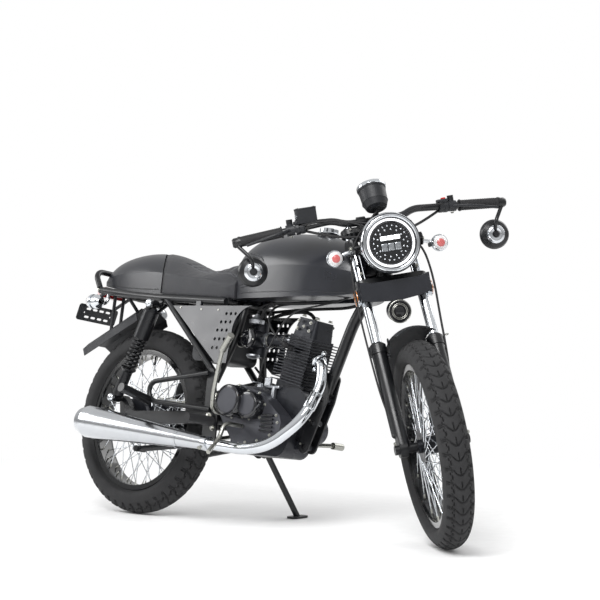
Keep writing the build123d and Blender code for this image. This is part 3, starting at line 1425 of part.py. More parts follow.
with BuildPart() as rear_mudguard:
    guard_top = Vector(REAR_GUARD_TOP_X, 0, REAR_GUARD_TOP_Z)
    guard_run = Vector(REAR_GUARD_TIP_X, 0, REAR_GUARD_TIP_Z) - guard_top
    section_plane = Plane(guard_top, x_dir=(0, 1, 0), z_dir=guard_run * -1)
    flat = REAR_GUARD_HALF * GUARD_FLAT_SHARE
    skin = GUARD_THICKNESS
    right_half = [
        (0, 0),
        (flat, 0),
        (REAR_GUARD_HALF, -REAR_GUARD_DEPTH / 2),
        (REAR_GUARD_HALF, -REAR_GUARD_DEPTH),
        (REAR_GUARD_HALF - skin, -REAR_GUARD_DEPTH),
        (REAR_GUARD_HALF - skin, -REAR_GUARD_DEPTH / 2 - skin / 2),
        (flat - skin / 2, -skin),
    ]
    outline = right_half + [(-x, y) for x, y in reversed(right_half[1:])]
    with BuildSketch(section_plane) as section:
        with BuildLine():
            Polyline(*outline, close=True)
        make_face()
    extrude(section.sketch, amount=-guard_run.length)
    tail_share = (REAR_GUARD_TOP_X - RAIL_REAR_X) / (REAR_GUARD_TOP_X - REAR_GUARD_TIP_X)
    strut_foot = guard_top.Z + guard_run.Z * tail_share - GUARD_THICKNESS
    for side in SIDES:
        hook = mirrored((RAIL_REAR_X, flat / 2, RAIL_REAR_Z), side)
        rod(hook, mirrored((RAIL_REAR_X, flat / 2, strut_foot), side), SIGNAL_STEM)
        ear_top = RAIL_MID + (RAIL_REAR - RAIL_MID) * GUARD_EAR_SHARE
        ear_foot = Vector(ear_top.X, flat, REAR_GUARD_TOP_Z - 2 * SIGNAL_STEM)
        rod(mirrored(ear_top, side), mirrored(ear_foot, side), SIGNAL_STEM)
    rod(mirrored(RAIL_REAR, RIGHT), RAIL_REAR, RAIL_RADIUS + SEAT_GAP, Mode.SUBTRACT)
    for side in SIDES:
        rod(mirrored(RAIL_MID, side), mirrored(RAIL_REAR, side), RAIL_RADIUS + SEAT_GAP, Mode.SUBTRACT)

with BuildPart() as plate_bracket:
    plate_plane = Plane((PLATE_X, 0, PLATE_Z), x_dir=(0, 1, 0), z_dir=(-1, 0, PLATE_LEAN_SHARE))
    with BuildSketch(plate_plane) as face:
        RectangleRounded(2 * PLATE_HALF, PLATE_HEIGHT, PLATE_HEIGHT / 6)
        with Locations((-PLATE_HOLE_HALF, 0), (PLATE_HOLE_HALF, 0)):
            Circle(PLATE_HOLE_RADIUS, mode=Mode.SUBTRACT)
        with GridLocations(PLATE_HOLE_HALF / 2, PLATE_HEIGHT / 2, PLATE_SLOTS, 2):
            SlotOverall(PLATE_SLOT_LENGTH, PLATE_SLOT_WIDTH, mode=Mode.SUBTRACT)
    extrude(face.sketch, amount=GUARD_THICKNESS)
    for side in SIDES:
        root = mirrored((RAIL_REAR_X, PLATE_HOLE_HALF, RAIL_REAR_Z), side)
        rod(root, mirrored((PLATE_X, PLATE_HOLE_HALF, PLATE_Z + PLATE_HEIGHT / 3), side), SIGNAL_STEM)
    rod(mirrored(RAIL_REAR, RIGHT), RAIL_REAR, STAY_RADIUS + SEAT_GAP, Mode.SUBTRACT)

with BuildPart() as tail_lamp:
    half = TAIL_LAMP_WIDTH / 2
    low = (TAIL_LAMP_X - TAIL_LAMP_DEPTH, -half, TAIL_LAMP_Z - TAIL_LAMP_HEIGHT / 2)
    block(low, (TAIL_LAMP_X, half, TAIL_LAMP_Z + TAIL_LAMP_HEIGHT / 2))
    fillet(tail_lamp.edges().filter_by(Axis.X), TAIL_LAMP_HEIGHT / 4)
    lamp_stem = Vector(TAIL_LAMP_X - OVERRUN, 0, RAIL_REAR_Z)
    rod(lamp_stem, (RAIL_REAR_X, 0, RAIL_REAR_Z), 2 * SIGNAL_STEM)
    rod(mirrored(RAIL_REAR, RIGHT), RAIL_REAR, STAY_RADIUS + SEAT_GAP, Mode.SUBTRACT)

with BuildPart() as rear_signals:
    for side in SIDES:
        centre = mirrored((REAR_SIGNAL_X, REAR_SIGNAL_Y, REAR_SIGNAL_Z), side)
        stem_share = (RAIL_MID_X - REAR_SIGNAL_X) / (RAIL_MID_X - RAIL_REAR_X)
        rail_place = mirrored(RAIL_MID + (RAIL_REAR - RAIL_MID) * stem_share, side)
        signal(centre)
        bent_bar([rail_place, Vector(rail_place.X, rail_place.Y, centre.Z), centre], SIGNAL_STEM)
    for side in SIDES:
        rail = [mirrored(place, side) for place in (RAIL_MID, RAIL_REAR)]
        rod(*rail, RAIL_RADIUS + SEAT_GAP, Mode.SUBTRACT)

# Fork and steering
with BuildPart() as fork_sliders:
    for side in SIDES:
        rod(leg(side, AXLE_S), leg(side, SLIDER_TOP), SLIDER_RADIUS)
        rod(leg(side, SLIDER_TOP - COLLAR_LENGTH), leg(side, SLIDER_TOP), COLLAR_RADIUS)
        lug_low = FRONT_CENTRE + ACROSS * side * (LEG_HALF - AXLE_LUG_HALF)
        rod(lug_low, lug_low + ACROSS * side * (2 * AXLE_LUG_HALF), AXLE_LUG_RADIUS)
        bore_foot = leg(side, SLIDER_TOP - SLIDER_DEPTH)
        rod(bore_foot, leg(side, SLIDER_TOP), STANCHION_RADIUS + SEAT_GAP, Mode.SUBTRACT)
    for side in SIDES:
        outer = side * (LEG_HALF + AXLE_LUG_HALF)
        axle_disc(FRONT_CENTRE, outer, side * 2 * LEG_HALF, AXLE_LUG_RADIUS + SLIDER_RADIUS, Mode.SUBTRACT)
        axle_disc(FRONT_CENTRE, outer, side * FRONT_AXLE_HALF, AXLE_NUT_RADIUS)
    axle_disc(FRONT_CENTRE, -FRONT_AXLE_HALF, FRONT_AXLE_HALF, AXLE_RADIUS)
    for start, end in (
        (-LEG_HALF, -FRONT_HUB_HALF - RUN_GAP),
        (DISC_Y + DISC_THICKNESS + RUN_GAP, LEG_HALF),
    ):
        axle_disc(FRONT_CENTRE, start, end, AXLE_NUT_RADIUS)

with BuildPart() as fork_stanchions:
    for side in SIDES:
        rod(leg(side, SLIDER_TOP - SLIDER_DEPTH + SEAT_GAP), leg(side, FORK_TOP), STANCHION_RADIUS)

with BuildPart() as yokes:
    stem_top = steer(0, 0, HEAD_HIGH + UPPER_CLAMP_THICKNESS)
    rod(steer(0, 0, HEAD_LOW - LOWER_CLAMP_THICKNESS), stem_top, STEM_RADIUS)
    clamp_discs = [
        (0, 0, STEM_CLAMP_RADIUS),
        (FORK_OFFSET, LEG_HALF, CLAMP_RADIUS),
        (FORK_OFFSET, -LEG_HALF, CLAMP_RADIUS),
    ]
    low_s = HEAD_LOW - RUN_GAP - LOWER_CLAMP_THICKNESS / 2
    high_s = HEAD_HIGH + RUN_GAP + UPPER_CLAMP_THICKNESS / 2
    for along, thickness in ((low_s, LOWER_CLAMP_THICKNESS), (high_s, UPPER_CLAMP_THICKNESS)):
        hulled(STEER_PLANE.offset(along), clamp_discs, thickness)
    for side in SIDES:
        clamp = mirrored((BAR_X, BAR_CLAMP_Y, BAR_Z), side)
        clamp_level = (clamp - AXIS_FOOT).dot(AXIS_UP)
        rod(clamp - ACROSS * (PERCH_WIDTH / 2), clamp + ACROSS * (PERCH_WIDTH / 2), PERCH_RADIUS)
        rod(clamp, clamp - AXIS_UP * (clamp_level - high_s), BAR_RADIUS)
        rod(clamp - ACROSS * PERCH_WIDTH, clamp + ACROSS * PERCH_WIDTH, BAR_RADIUS + SEAT_GAP, Mode.SUBTRACT)
    for side in SIDES:
        rod(leg(side, 0), leg(side, 2 * FORK_TOP), STANCHION_RADIUS + SEAT_GAP, Mode.SUBTRACT)

with BuildPart() as yoke_cover:
    with BuildSketch(Plane((YOKE_COVER_X, 0, 0), x_dir=(0, 1, 0), z_dir=(1, 0, 0))) as face:
        with BuildLine():
            Polyline(
                (0, YOKE_COVER_LOW_Z),
                (YOKE_COVER_HALF * COVER_WAIST_SHARE, YOKE_COVER_LOW_Z + YOKE_COVER_VEE),
                (YOKE_COVER_HALF, YOKE_COVER_LOW_Z + 2 * YOKE_COVER_VEE),
                (YOKE_COVER_HALF, YOKE_COVER_HIGH_Z),
                (YOKE_COVER_HALF * COVER_WAIST_SHARE, YOKE_COVER_HIGH_Z - YOKE_COVER_VEE),
                (-YOKE_COVER_HALF * COVER_WAIST_SHARE, YOKE_COVER_HIGH_Z - YOKE_COVER_VEE),
                (-YOKE_COVER_HALF, YOKE_COVER_HIGH_Z),
                (-YOKE_COVER_HALF, YOKE_COVER_LOW_Z + 2 * YOKE_COVER_VEE),
                (-YOKE_COVER_HALF * COVER_WAIST_SHARE, YOKE_COVER_LOW_Z + YOKE_COVER_VEE),
                close=True,
            )
        make_face()
    extrude(face.sketch, amount=YOKE_COVER_DEPTH)
    horn = Vector(YOKE_COVER_X, 0, YOKE_COVER_LOW_Z - HORN_RADIUS + OVERRUN)
    rod(horn, horn + Vector(YOKE_COVER_DEPTH, 0, 0), HORN_RADIUS)
    for side in SIDES:
        grip = leg(side, HEAD_LOW - LOWER_CLAMP_THICKNESS - COVER_GRIP)
        rod(grip, Vector(YOKE_COVER_X + OVERRUN, grip.Y, grip.Z), SIGNAL_STEM)
        rod(leg(side, 0), leg(side, FORK_TOP), STANCHION_RADIUS + SEAT_GAP, Mode.SUBTRACT)

with BuildPart() as front_caliper:
    angle = math.radians(CALIPER_ANGLE)
    centre = FRONT_CENTRE + Vector(math.cos(angle), 0, math.sin(angle)) * (DISC_RADIUS - CALIPER_HEIGHT / 3)
    centre += ACROSS * (DISC_Y + SEAT_GAP + DISC_THICKNESS / 2)
    caliper_plane = Plane(centre, x_dir=(-math.sin(angle), 0, math.cos(angle)), z_dir=(0, -1, 0))
    with BuildSketch(caliper_plane) as face:
        RectangleRounded(CALIPER_LENGTH, CALIPER_HEIGHT, CALIPER_HEIGHT / 4)
    extrude(face.sketch, amount=CALIPER_WIDTH / 2, both=True)
    rod(
        FRONT_CENTRE + ACROSS * (centre.Y - CALIPER_SLOT / 2),
        FRONT_CENTRE + ACROSS * (centre.Y + CALIPER_SLOT / 2),
        DISC_RADIUS + CALIPER_SLOT / 3,
        Mode.SUBTRACT,
    )
    bracket_y = LEG_HALF - SLIDER_RADIUS - SEAT_GAP - CALIPER_LUG / 2
    for level in (AXLE_S + CALIPER_HEIGHT, AXLE_S + 2 * CALIPER_HEIGHT):
        lug_place = leg(LEFT, level)
        arm = [
            (centre.X, centre.Z, CALIPER_HEIGHT / 3),
            (lug_place.X, lug_place.Z, CALIPER_LUG * 2),
        ]
        hulled(side_plane(bracket_y), arm, CALIPER_LUG)

# Lamps and signals on the fork
with BuildPart() as headlamp_shell:
    lamp_back = Vector(LAMP_X - LAMP_DEPTH, 0, LAMP_Z)
    lamp_front = Vector(LAMP_X - LAMP_RING, 0, LAMP_Z)
    depth = LAMP_DEPTH - LAMP_RING
    turned(lamp_back, lamp_front, [(depth * along, LAMP_RADIUS * across) for along, across in LAMP_SHARES])
    ring_back = Vector(LAMP_X - LAMP_RING, 0, LAMP_Z)
    rod(ring_back, ring_back + Vector(2 * LAMP_RING, 0, 0), LAMP_RADIUS)
    rod(ring_back, ring_back + Vector(3 * LAMP_RING, 0, 0), LAMP_FACE_RADIUS, Mode.SUBTRACT)

with BuildPart() as headlamp_face:
    face_back = ring_back + Vector(SEAT_GAP, 0, 0)
    rod(face_back, face_back + Vector(LAMP_RING, 0, 0), LAMP_FACE_RADIUS - SEAT_GAP)

with BuildPart() as lamp_brackets:
    for side in SIDES:
        rod(leg(side, EAR_LOW), leg(side, EAR_HIGH), EAR_RADIUS)
        ear = [
            (leg(side, (EAR_LOW + EAR_HIGH) / 2).X, LAMP_Z, EAR_RADIUS),
            (LAMP_X - LAMP_DEPTH / 2, LAMP_Z, EAR_RADIUS),
        ]
        hulled(side_plane(side * EAR_Y), ear, GUARD_THICKNESS)
        bolt = mirrored((LAMP_X - LAMP_DEPTH / 2, LAMP_RADIUS * LAMP_SHARES[-2][1], LAMP_Z), side)
        rod(bolt, mirrored((LAMP_X - LAMP_DEPTH / 2, EAR_Y, LAMP_Z), side), SIGNAL_STEM)
        rod(leg(side, 0), leg(side, FORK_TOP), STANCHION_RADIUS + SEAT_GAP, Mode.SUBTRACT)
    depth = LAMP_DEPTH - LAMP_RING
    shell = [(depth * along, LAMP_RADIUS * across + SEAT_GAP) for along, across in LAMP_SHARES]
    turned(lamp_back, lamp_front, shell, Mode.SUBTRACT)

with BuildPart() as front_signals:
    for side in SIDES:
        centre = mirrored((FRONT_SIGNAL_X, FRONT_SIGNAL_Y, FRONT_SIGNAL_Z), side)
        signal(centre)
        ear_face = EAR_Y + GUARD_THICKNESS / 2 + SEAT_GAP
        stem = [
            mirrored((FRONT_SIGNAL_X, ear_face, LAMP_Z - EAR_RADIUS / 2), side),
            mirrored((FRONT_SIGNAL_X, ear_face + 2 * SIGNAL_STEM, LAMP_Z - EAR_RADIUS / 2), side),
            centre,
        ]
        bent_bar(stem, SIGNAL_STEM)

# Handlebar and what it carries
with BuildPart() as handlebar:
    bar = [
        (BAR_END_X, -BAR_END_Y, BAR_END_Z),
        (BAR_BEND_X, -BAR_BEND_Y, BAR_RISE_Z),
        (BAR_X, -BAR_CLAMP_HALF, BAR_Z),
        (BAR_X, BAR_CLAMP_HALF, BAR_Z),
        (BAR_BEND_X, BAR_BEND_Y, BAR_RISE_Z),
        (BAR_END_X, BAR_END_Y, BAR_END_Z),
    ]
    bent_bar(bar, BAR_RADIUS)

with BuildPart() as grips:
    for side in SIDES:
        sleeve(side, GRIP_Y, BAR_END_Y, GRIP_RADIUS)

with BuildPart() as hand_controls:
    reservoir = bar_place(RIGHT, RESERVOIR_Y)
    low_z = reservoir.Z + BAR_RADIUS
    block(
        (reservoir.X - RESERVOIR_WIDTH / 2, -RESERVOIR_Y - RESERVOIR_LENGTH / 2, low_z),
        (reservoir.X + RESERVOIR_WIDTH / 2, -RESERVOIR_Y + RESERVOIR_LENGTH / 2, RESERVOIR_TOP_Z),
    )
    bar_run = [bar_place(RIGHT, RESERVOIR_Y + reach) for reach in (-RESERVOIR_LENGTH, RESERVOIR_LENGTH)]
    rod(*bar_run, BAR_RADIUS + SEAT_GAP, Mode.SUBTRACT)
    for side in SIDES:
        sleeve(side, SWITCH_Y - SWITCH_WIDTH / 2, SWITCH_Y + SWITCH_WIDTH / 2, SWITCH_RADIUS)

with BuildPart() as lever_perches:
    for side in SIDES:
        sleeve(side, PERCH_Y - PERCH_WIDTH / 2, PERCH_Y + PERCH_WIDTH / 2, PERCH_RADIUS)
        pad_foot = bar_place(side, PERCH_Y) + Vector(0, 0, BAR_RADIUS + 2 * RUN_GAP)
        rod(pad_foot, pad_foot + Vector(0, 0, MIRROR_PAD), MIRROR_BOSS_RADIUS)

with BuildPart() as mirror_collars:
    for side in SIDES:
        collar_foot = thread_place(side)
        collar_top = collar_foot + Vector(0, 0, MIRROR_THREAD_DEPTH)
        rod(collar_foot, collar_top, MIRROR_BOSS_RADIUS)
        rod(collar_foot, collar_top, MIRROR_THREAD_RADIUS, Mode.SUBTRACT)

with BuildPart() as levers:
    for side in SIDES:
        route = [
            bar_place(side, PERCH_Y) + Vector(BAR_RADIUS, 0, 0),
            mirrored((LEVER_X, LEVER_KNEE_Y, LEVER_KNEE_Z), side),
            mirrored((LEVER_TIP_X, LEVER_TIP_Y, LEVER_TIP_Z), side),
        ]
        bent_bar(route, LEVER_THICKNESS / 2)
    for side in SIDES:
        perch = [bar_place(side, PERCH_Y + reach) for reach in (-PERCH_WIDTH, PERCH_WIDTH)]
        rod(*perch, PERCH_RADIUS + SEAT_GAP, Mode.SUBTRACT)

with BuildPart() as mirrors:
    for side in SIDES:
        end = bar_place(side, BAR_END_Y + SEAT_GAP)
        cap = bar_place(side, BAR_END_Y + MIRROR_CAP)
        rod(end, cap, GRIP_RADIUS * GRIP_SHARE)
        centre = mirrored((MIRROR_X, MIRROR_Y, MIRROR_Z), side)
        ahead = Vector(MIRROR_DEPTH / 2, 0, 0)
        knee = centre + ahead * 2 + Vector(0, 0, MIRROR_DROP)
        bent_bar([end + (cap - end) * MIRROR_CAP_SHARE, knee, centre], SIGNAL_STEM)
        housing = [(MIRROR_DEPTH * along, MIRROR_RADIUS * across) for along, across in MIRROR_SHARES]
        turned(centre + ahead, centre - ahead, housing)

with BuildPart() as gauge:
    tilt = math.radians(GAUGE_TILT)
    gauge_up = Vector(-math.sin(tilt), 0, math.cos(tilt))
    gauge_centre = Vector(GAUGE_X, 0, GAUGE_Z)
    gauge_foot = gauge_centre - gauge_up * (GAUGE_DEPTH / 2)
    pod = [(GAUGE_DEPTH * along, GAUGE_RADIUS * across) for along, across in GAUGE_SHARES]
    turned(gauge_foot, gauge_foot + gauge_up * GAUGE_DEPTH, pod)
    stem_foot = steer(GAUGE_AHEAD, 0, high_s + UPPER_CLAMP_THICKNESS / 2 + SEAT_GAP)
    stem_bend = stem_foot + AXIS_UP * (2 * GAUGE_STEM)
    bent_bar([stem_foot, stem_bend, gauge_foot + gauge_up * GAUGE_STEM], GAUGE_STEM)

# Stance: fork to its right-hand stop, both tyres on the floor, lean to the side stand
STEERED = {
    "front_tyre": front_tyre,
    "front_rim": front_rim,
    "front_spokes": front_spokes,
    "front_hub": front_hub,
    "front_mudguard": front_mudguard,
    "front_caliper": front_caliper,
    "fork_sliders": fork_sliders,
    "fork_stanchions": fork_stanchions,
    "yokes": yokes,
    "yoke_cover": yoke_cover,
    "headlamp_shell": headlamp_shell,
    "headlamp_face": headlamp_face,
    "lamp_brackets": lamp_brackets,
    "front_signals": front_signals,
    "handlebar": handlebar,
    "grips": grips,
    "hand_controls": hand_controls,
    "lever_perches": lever_perches,
    "levers": levers,
    "mirror_collars": mirror_collars,
    "mirrors": mirrors,
    "gauge": gauge,
}
UPRIGHT = {
    "rear_tyre": rear_tyre,
    "rear_rim": rear_rim,
    "rear_spokes": rear_spokes,
    "rear_hub": rear_hub,
    "rear_brake": rear_brake,
    "drive_chain": drive_chain,
    "swing_arm": swing_arm,
    "head_tube": head_tube,
    "downtube": downtube,
    "centre_frame": centre_frame,
    "seat_rails": seat_rails,
    "grab_hoop": grab_hoop,
    "shocks": shocks,
    "crankcase": crankcase,
    "cylinder": cylinder,
    "cylinder_head": cylinder_head,
    "engine_covers": engine_covers,
    "intake": intake,
    "air_box": air_box,
    "exhaust_header": exhaust_header,
    "muffler": muffler,
    "foot_controls": foot_controls,
    "rider_pegs": rider_pegs,
    "passenger_rests": passenger_rests,
    "centre_stand": centre_stand,
    "side_stand": side_stand,
    "tank": tank,
    "filler_cap": filler_cap,
    "seat_pad": seat_pad,
    "tail_cowl": tail_cowl,
    "side_panels": side_panels,
    "rear_mudguard": rear_mudguard,
    "plate_bracket": plate_bracket,
    "tail_lamp": tail_lamp,
    "rear_signals": rear_signals,
}

placed = {}
for label, piece in STEERED.items():
    placed[label] = STANCE * STEER_TURN * piece.part
for label, piece in UPRIGHT.items():
    placed[label] = STANCE * piece.part
boxes = [part.bounding_box() for part in placed.values()]
mid_x = (min(box.min.X for box in boxes) + max(box.max.X for box in boxes)) / 2
mid_y = (min(box.min.Y for box in boxes) + max(box.max.Y for box in boxes)) / 2
centring = Location((-mid_x, -mid_y, -min(box.min.Z for box in boxes)))
os.makedirs("parts", exist_ok=True)
for label, part in placed.items():
    settled = centring * part
    settled.label = label
    export_step(settled, f"parts/{label}.step")

# Places of the joints and mounts in the settled stance
REST = centring * STANCE
REST_STEERED = centring * STANCE * STEER_TURN
for name, rest, place, direction in (
    ("steering", REST, steer(0, 0, HEAD_LOW), AXIS_UP),
    ("front_wheel", REST_STEERED, FRONT_CENTRE, ACROSS),
    ("rear_wheel", REST, REAR_CENTRE, ACROSS),
    ("centre_stand", REST, Vector(STAND_PIVOT_X, 0, STAND_PIVOT_Z), ACROSS * -1),
    ("side_stand", REST, SIDE_PIVOT, SIDE_AXIS),
    ("mirror_thread_right", REST_STEERED, thread_place(RIGHT), Vector(0, 0, 1)),
    ("mirror_thread_left", REST_STEERED, thread_place(LEFT), Vector(0, 0, 1)),
    ("plate_holes", REST, Vector(PLATE_X, 0, PLATE_Z), Vector(-1, 0, PLATE_LEAN_SHARE)),
):
    at = moved(rest, place)
    to = (moved(rest, place + direction) - at).normalized()
    print("place", name, *(round(value, 4) for value in (*at, *to)))
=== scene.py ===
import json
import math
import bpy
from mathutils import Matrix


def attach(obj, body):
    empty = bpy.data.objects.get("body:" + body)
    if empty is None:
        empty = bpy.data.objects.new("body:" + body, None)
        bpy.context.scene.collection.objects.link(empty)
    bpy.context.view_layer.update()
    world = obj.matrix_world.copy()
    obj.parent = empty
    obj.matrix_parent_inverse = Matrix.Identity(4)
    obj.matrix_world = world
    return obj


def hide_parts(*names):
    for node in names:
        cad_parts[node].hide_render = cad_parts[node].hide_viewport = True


bl_info = {
    "name": "Cafe racer motorcycle",
    "version": (1, 0, 0),
    "blender": (4, 5, 0),
    "location": "View3D > Sidebar > Motorcycle",
    "description": "Dresses the parked motorcycle: tread, seat, trim, cables, lamps and finishes",
    "category": "Object",
}

import bmesh
import bpy
from bpy.props import FloatProperty, FloatVectorProperty, IntProperty, PointerProperty
from bpy.types import Operator, Panel, PropertyGroup
from mathutils import Matrix, Vector
from mathutils.bvhtree import BVHTree
from mathutils.geometry import tessellate_polygon

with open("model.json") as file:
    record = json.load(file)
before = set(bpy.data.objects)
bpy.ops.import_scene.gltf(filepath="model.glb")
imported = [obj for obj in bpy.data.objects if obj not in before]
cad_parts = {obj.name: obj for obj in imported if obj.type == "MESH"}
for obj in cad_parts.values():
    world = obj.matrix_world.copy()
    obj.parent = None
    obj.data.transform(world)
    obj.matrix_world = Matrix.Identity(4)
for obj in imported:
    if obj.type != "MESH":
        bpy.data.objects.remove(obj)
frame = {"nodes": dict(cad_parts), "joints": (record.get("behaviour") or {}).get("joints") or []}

# Driving sizes of the upright drawing, in millimetres: floor at height 0, rear axle above the origin
MM = 0.001
WHEELBASE = 1290
TRAIL = 85
FRONT_RADIUS = 308
REAR_RADIUS = 316
LEG_HALF = 88
RAKE = math.radians(25.2)
JOINTS = {joint["name"]: joint for joint in frame["joints"]}

RIGHT, LEFT = -1, 1
SIDES = {RIGHT: "right", LEFT: "left"}
AHEAD = Vector((1, 0, 0))
TO_LEFT = Vector((0, 1, 0))
TO_RIGHT = Vector((0, -1, 0))
UP = Vector((0, 0, 1))
REAR_AXLE = Vector((0, 0, REAR_RADIUS))
FRONT_AXLE = Vector((WHEELBASE, 0, FRONT_RADIUS))
AXIS_FOOT = Vector((WHEELBASE + TRAIL, 0, 0))
AXIS_UP = Vector((-math.sin(RAKE), 0, math.cos(RAKE)))
AXIS_AHEAD = Vector((math.cos(RAKE), 0, math.sin(RAKE)))
LEG_AHEAD = FRONT_RADIUS * math.sin(RAKE) - TRAIL * math.cos(RAKE)


def settled(wheel, axle):
    """Matrix from the upright drawing, in millimetres, to the parked machine, for a wheel's body."""
    across = Vector(JOINTS[wheel]["axis"]).normalized()
    up = Vector(JOINTS["steering"]["axis"]).normalized()
    ahead = across.cross(up)
    level = ahead * math.cos(RAKE) - up * math.sin(RAKE)
    plumb = ahead * math.sin(RAKE) + up * math.cos(RAKE)
    turn = Matrix((level, across, plumb)).transposed().to_4x4()
    place = Matrix.Translation(JOINTS[wheel]["pos_m"])
    return place @ turn @ Matrix.Scale(MM, 4) @ Matrix.Translation(-Vector(axle))


HOMES = {
    "frame": settled("rear_wheel", REAR_AXLE),
    "steering": settled("front_wheel", FRONT_AXLE),
}
HOMES["rear_wheel"] = HOMES["frame"]
HOMES["front_wheel"] = HOMES["steering"]


def linear(code):
    """Linear colour of an sRGB hex value."""
    shares = [int(code[i : i + 2], 16) / 255 for i in (1, 3, 5)]
    return tuple(s / 12.92 if s <= 0.04045 else ((s + 0.055) / 1.055) ** 2.4 for s in shares)


WHITE = (*linear("#ffffff"), 1)


def add(tree, kind, inputs=None, **settings):
    """Adds a shader node, applies its settings, and sets or links its inputs."""
    made = tree.nodes.new("ShaderNode" + kind)
    for name, value in settings.items():
        setattr(made, name, value)
    for socket, value in (inputs or {}).items():
        if isinstance(value, bpy.types.NodeSocket):
            tree.links.new(value, made.inputs[socket])
        else:
            made.inputs[socket].default_value = value
    return made


def per(millimetres):
    """Texture scale whose features are this many millimetres across."""
    return 1 / (millimetres * MM)


def start(name):
    """New material with an empty tree, and its object coordinates, which are metres."""
    made = bpy.data.materials.new(name)
    made.use_nodes = True
    made.node_tree.nodes.clear()
    place = add(made.node_tree, "TexCoord").outputs["Object"]
    return made, made.node_tree, place


def drift(tree, place, shades, patch, octaves=4.0):
    """Colour that drifts between two sRGB shades over patches of a size in millimetres."""
    cloud = add(tree, "TexNoise", {"Vector": place, "Scale": per(patch), "Detail": octaves})
    pair = {6: (*linear(shades[0]), 1), 7: (*linear(shades[1]), 1), 0: cloud.outputs["Fac"]}
    return add(tree, "Mix", pair, data_type="RGBA").outputs[2], cloud.outputs["Fac"]


def over(value, span):
    """Inputs that spread a noise value, which mostly lies from 0.3 to 0.7, over a span."""
    return {"Value": value, 1: 0.3, 2: 0.7, 3: span[0], 4: span[1]}


def surfaced(made, inputs):
    """Material with its principled surface, set or linked as the inputs say."""
    shader = add(made.node_tree, "BsdfPrincipled", inputs)
    add(made.node_tree, "OutputMaterial", {"Surface": shader.outputs[0]})
    return made


def plain(name, shades, rough, grain, depth, patch=70, metal=0.0, octaves=(4.0, 3.0), **more):
    """Material with drifting shades, uneven gloss and a grain; sizes and depth are in millimetres."""
    made, tree, place = start(name)
    base, cloud = drift(tree, place, shades, patch, octaves[0])
    gloss = add(tree, "MapRange", over(cloud, rough)).outputs["Result"]
    speck = add(tree, "TexNoise", {"Vector": place, "Scale": per(grain), "Detail": octaves[1]}).outputs["Fac"]
    normal = add(tree, "Bump", {"Height": speck, "Distance": depth * MM}).outputs[0]
    inputs = {"Base Color": base, "Metallic": metal, "Roughness": gloss, "Normal": normal}
    inputs.update({socket.replace("_", " "): value for socket, value in more.items()})
    return surfaced(made, inputs)


def brushed(name, shades, rough, pitch, depth, along):
    """Metal with fine scratches; along stretches the pattern on each axis."""
    made, tree, place = start(name)
    base, _ = drift(tree, place, shades, 45)
    lines = add(tree, "Mapping", {"Vector": place, "Scale": along}).outputs[0]
    streak = add(tree, "TexNoise", {"Vector": lines, "Scale": per(pitch), "Detail": 2.0}).outputs["Fac"]
    gloss = add(tree, "MapRange", over(streak, rough)).outputs["Result"]
    normal = add(tree, "Bump", {"Height": streak, "Distance": depth * MM}).outputs[0]
    return surfaced(made, {"Base Color": base, "Metallic": 1.0, "Roughness": gloss, "Normal": normal})


def leatherette():
    """Vinyl-coated fabric, embossed: a fine pebble grain and a soft, slightly hazy gloss."""
    made, tree, place = start("leatherette, embossed")
    base, cloud = drift(tree, place, ("#1d1e22", "#292a2f"), 55)
    pebble = add(tree, "TexVoronoi", {"Vector": place, "Scale": per(1.6)}, feature="DISTANCE_TO_EDGE")
    crease = add(tree, "TexNoise", {"Vector": place, "Scale": per(9), "Detail": 5.0})
    grain = add(tree, "Bump", {"Height": pebble.outputs["Distance"], "Distance": 0.5 * MM}).outputs[0]
    folds = {"Height": crease.outputs["Fac"], "Distance": 0.5 * MM, "Normal": grain}
    normal = add(tree, "Bump", folds).outputs[0]
    gloss = add(tree, "MapRange", over(cloud, (0.46, 0.6))).outputs["Result"]
    return surfaced(made, {"Base Color": base, "Roughness": gloss, "Normal": normal, "Sheen Weight": 0.15})


def glowing(name, code, power):
    """Light guide or lamp that is lit: even and white, a little weaker between its chips."""
    made, tree, place = start(name)
    base, cloud = drift(tree, place, (code, "#ffffff"), 6)
    strength = add(tree, "MapRange", over(cloud, (power * 0.85, power))).outputs["Result"]
    inputs = {"Base Color": base, "Roughness": 0.3, "Emission Color": base, "Emission Strength": strength}
    return surfaced(made, inputs)


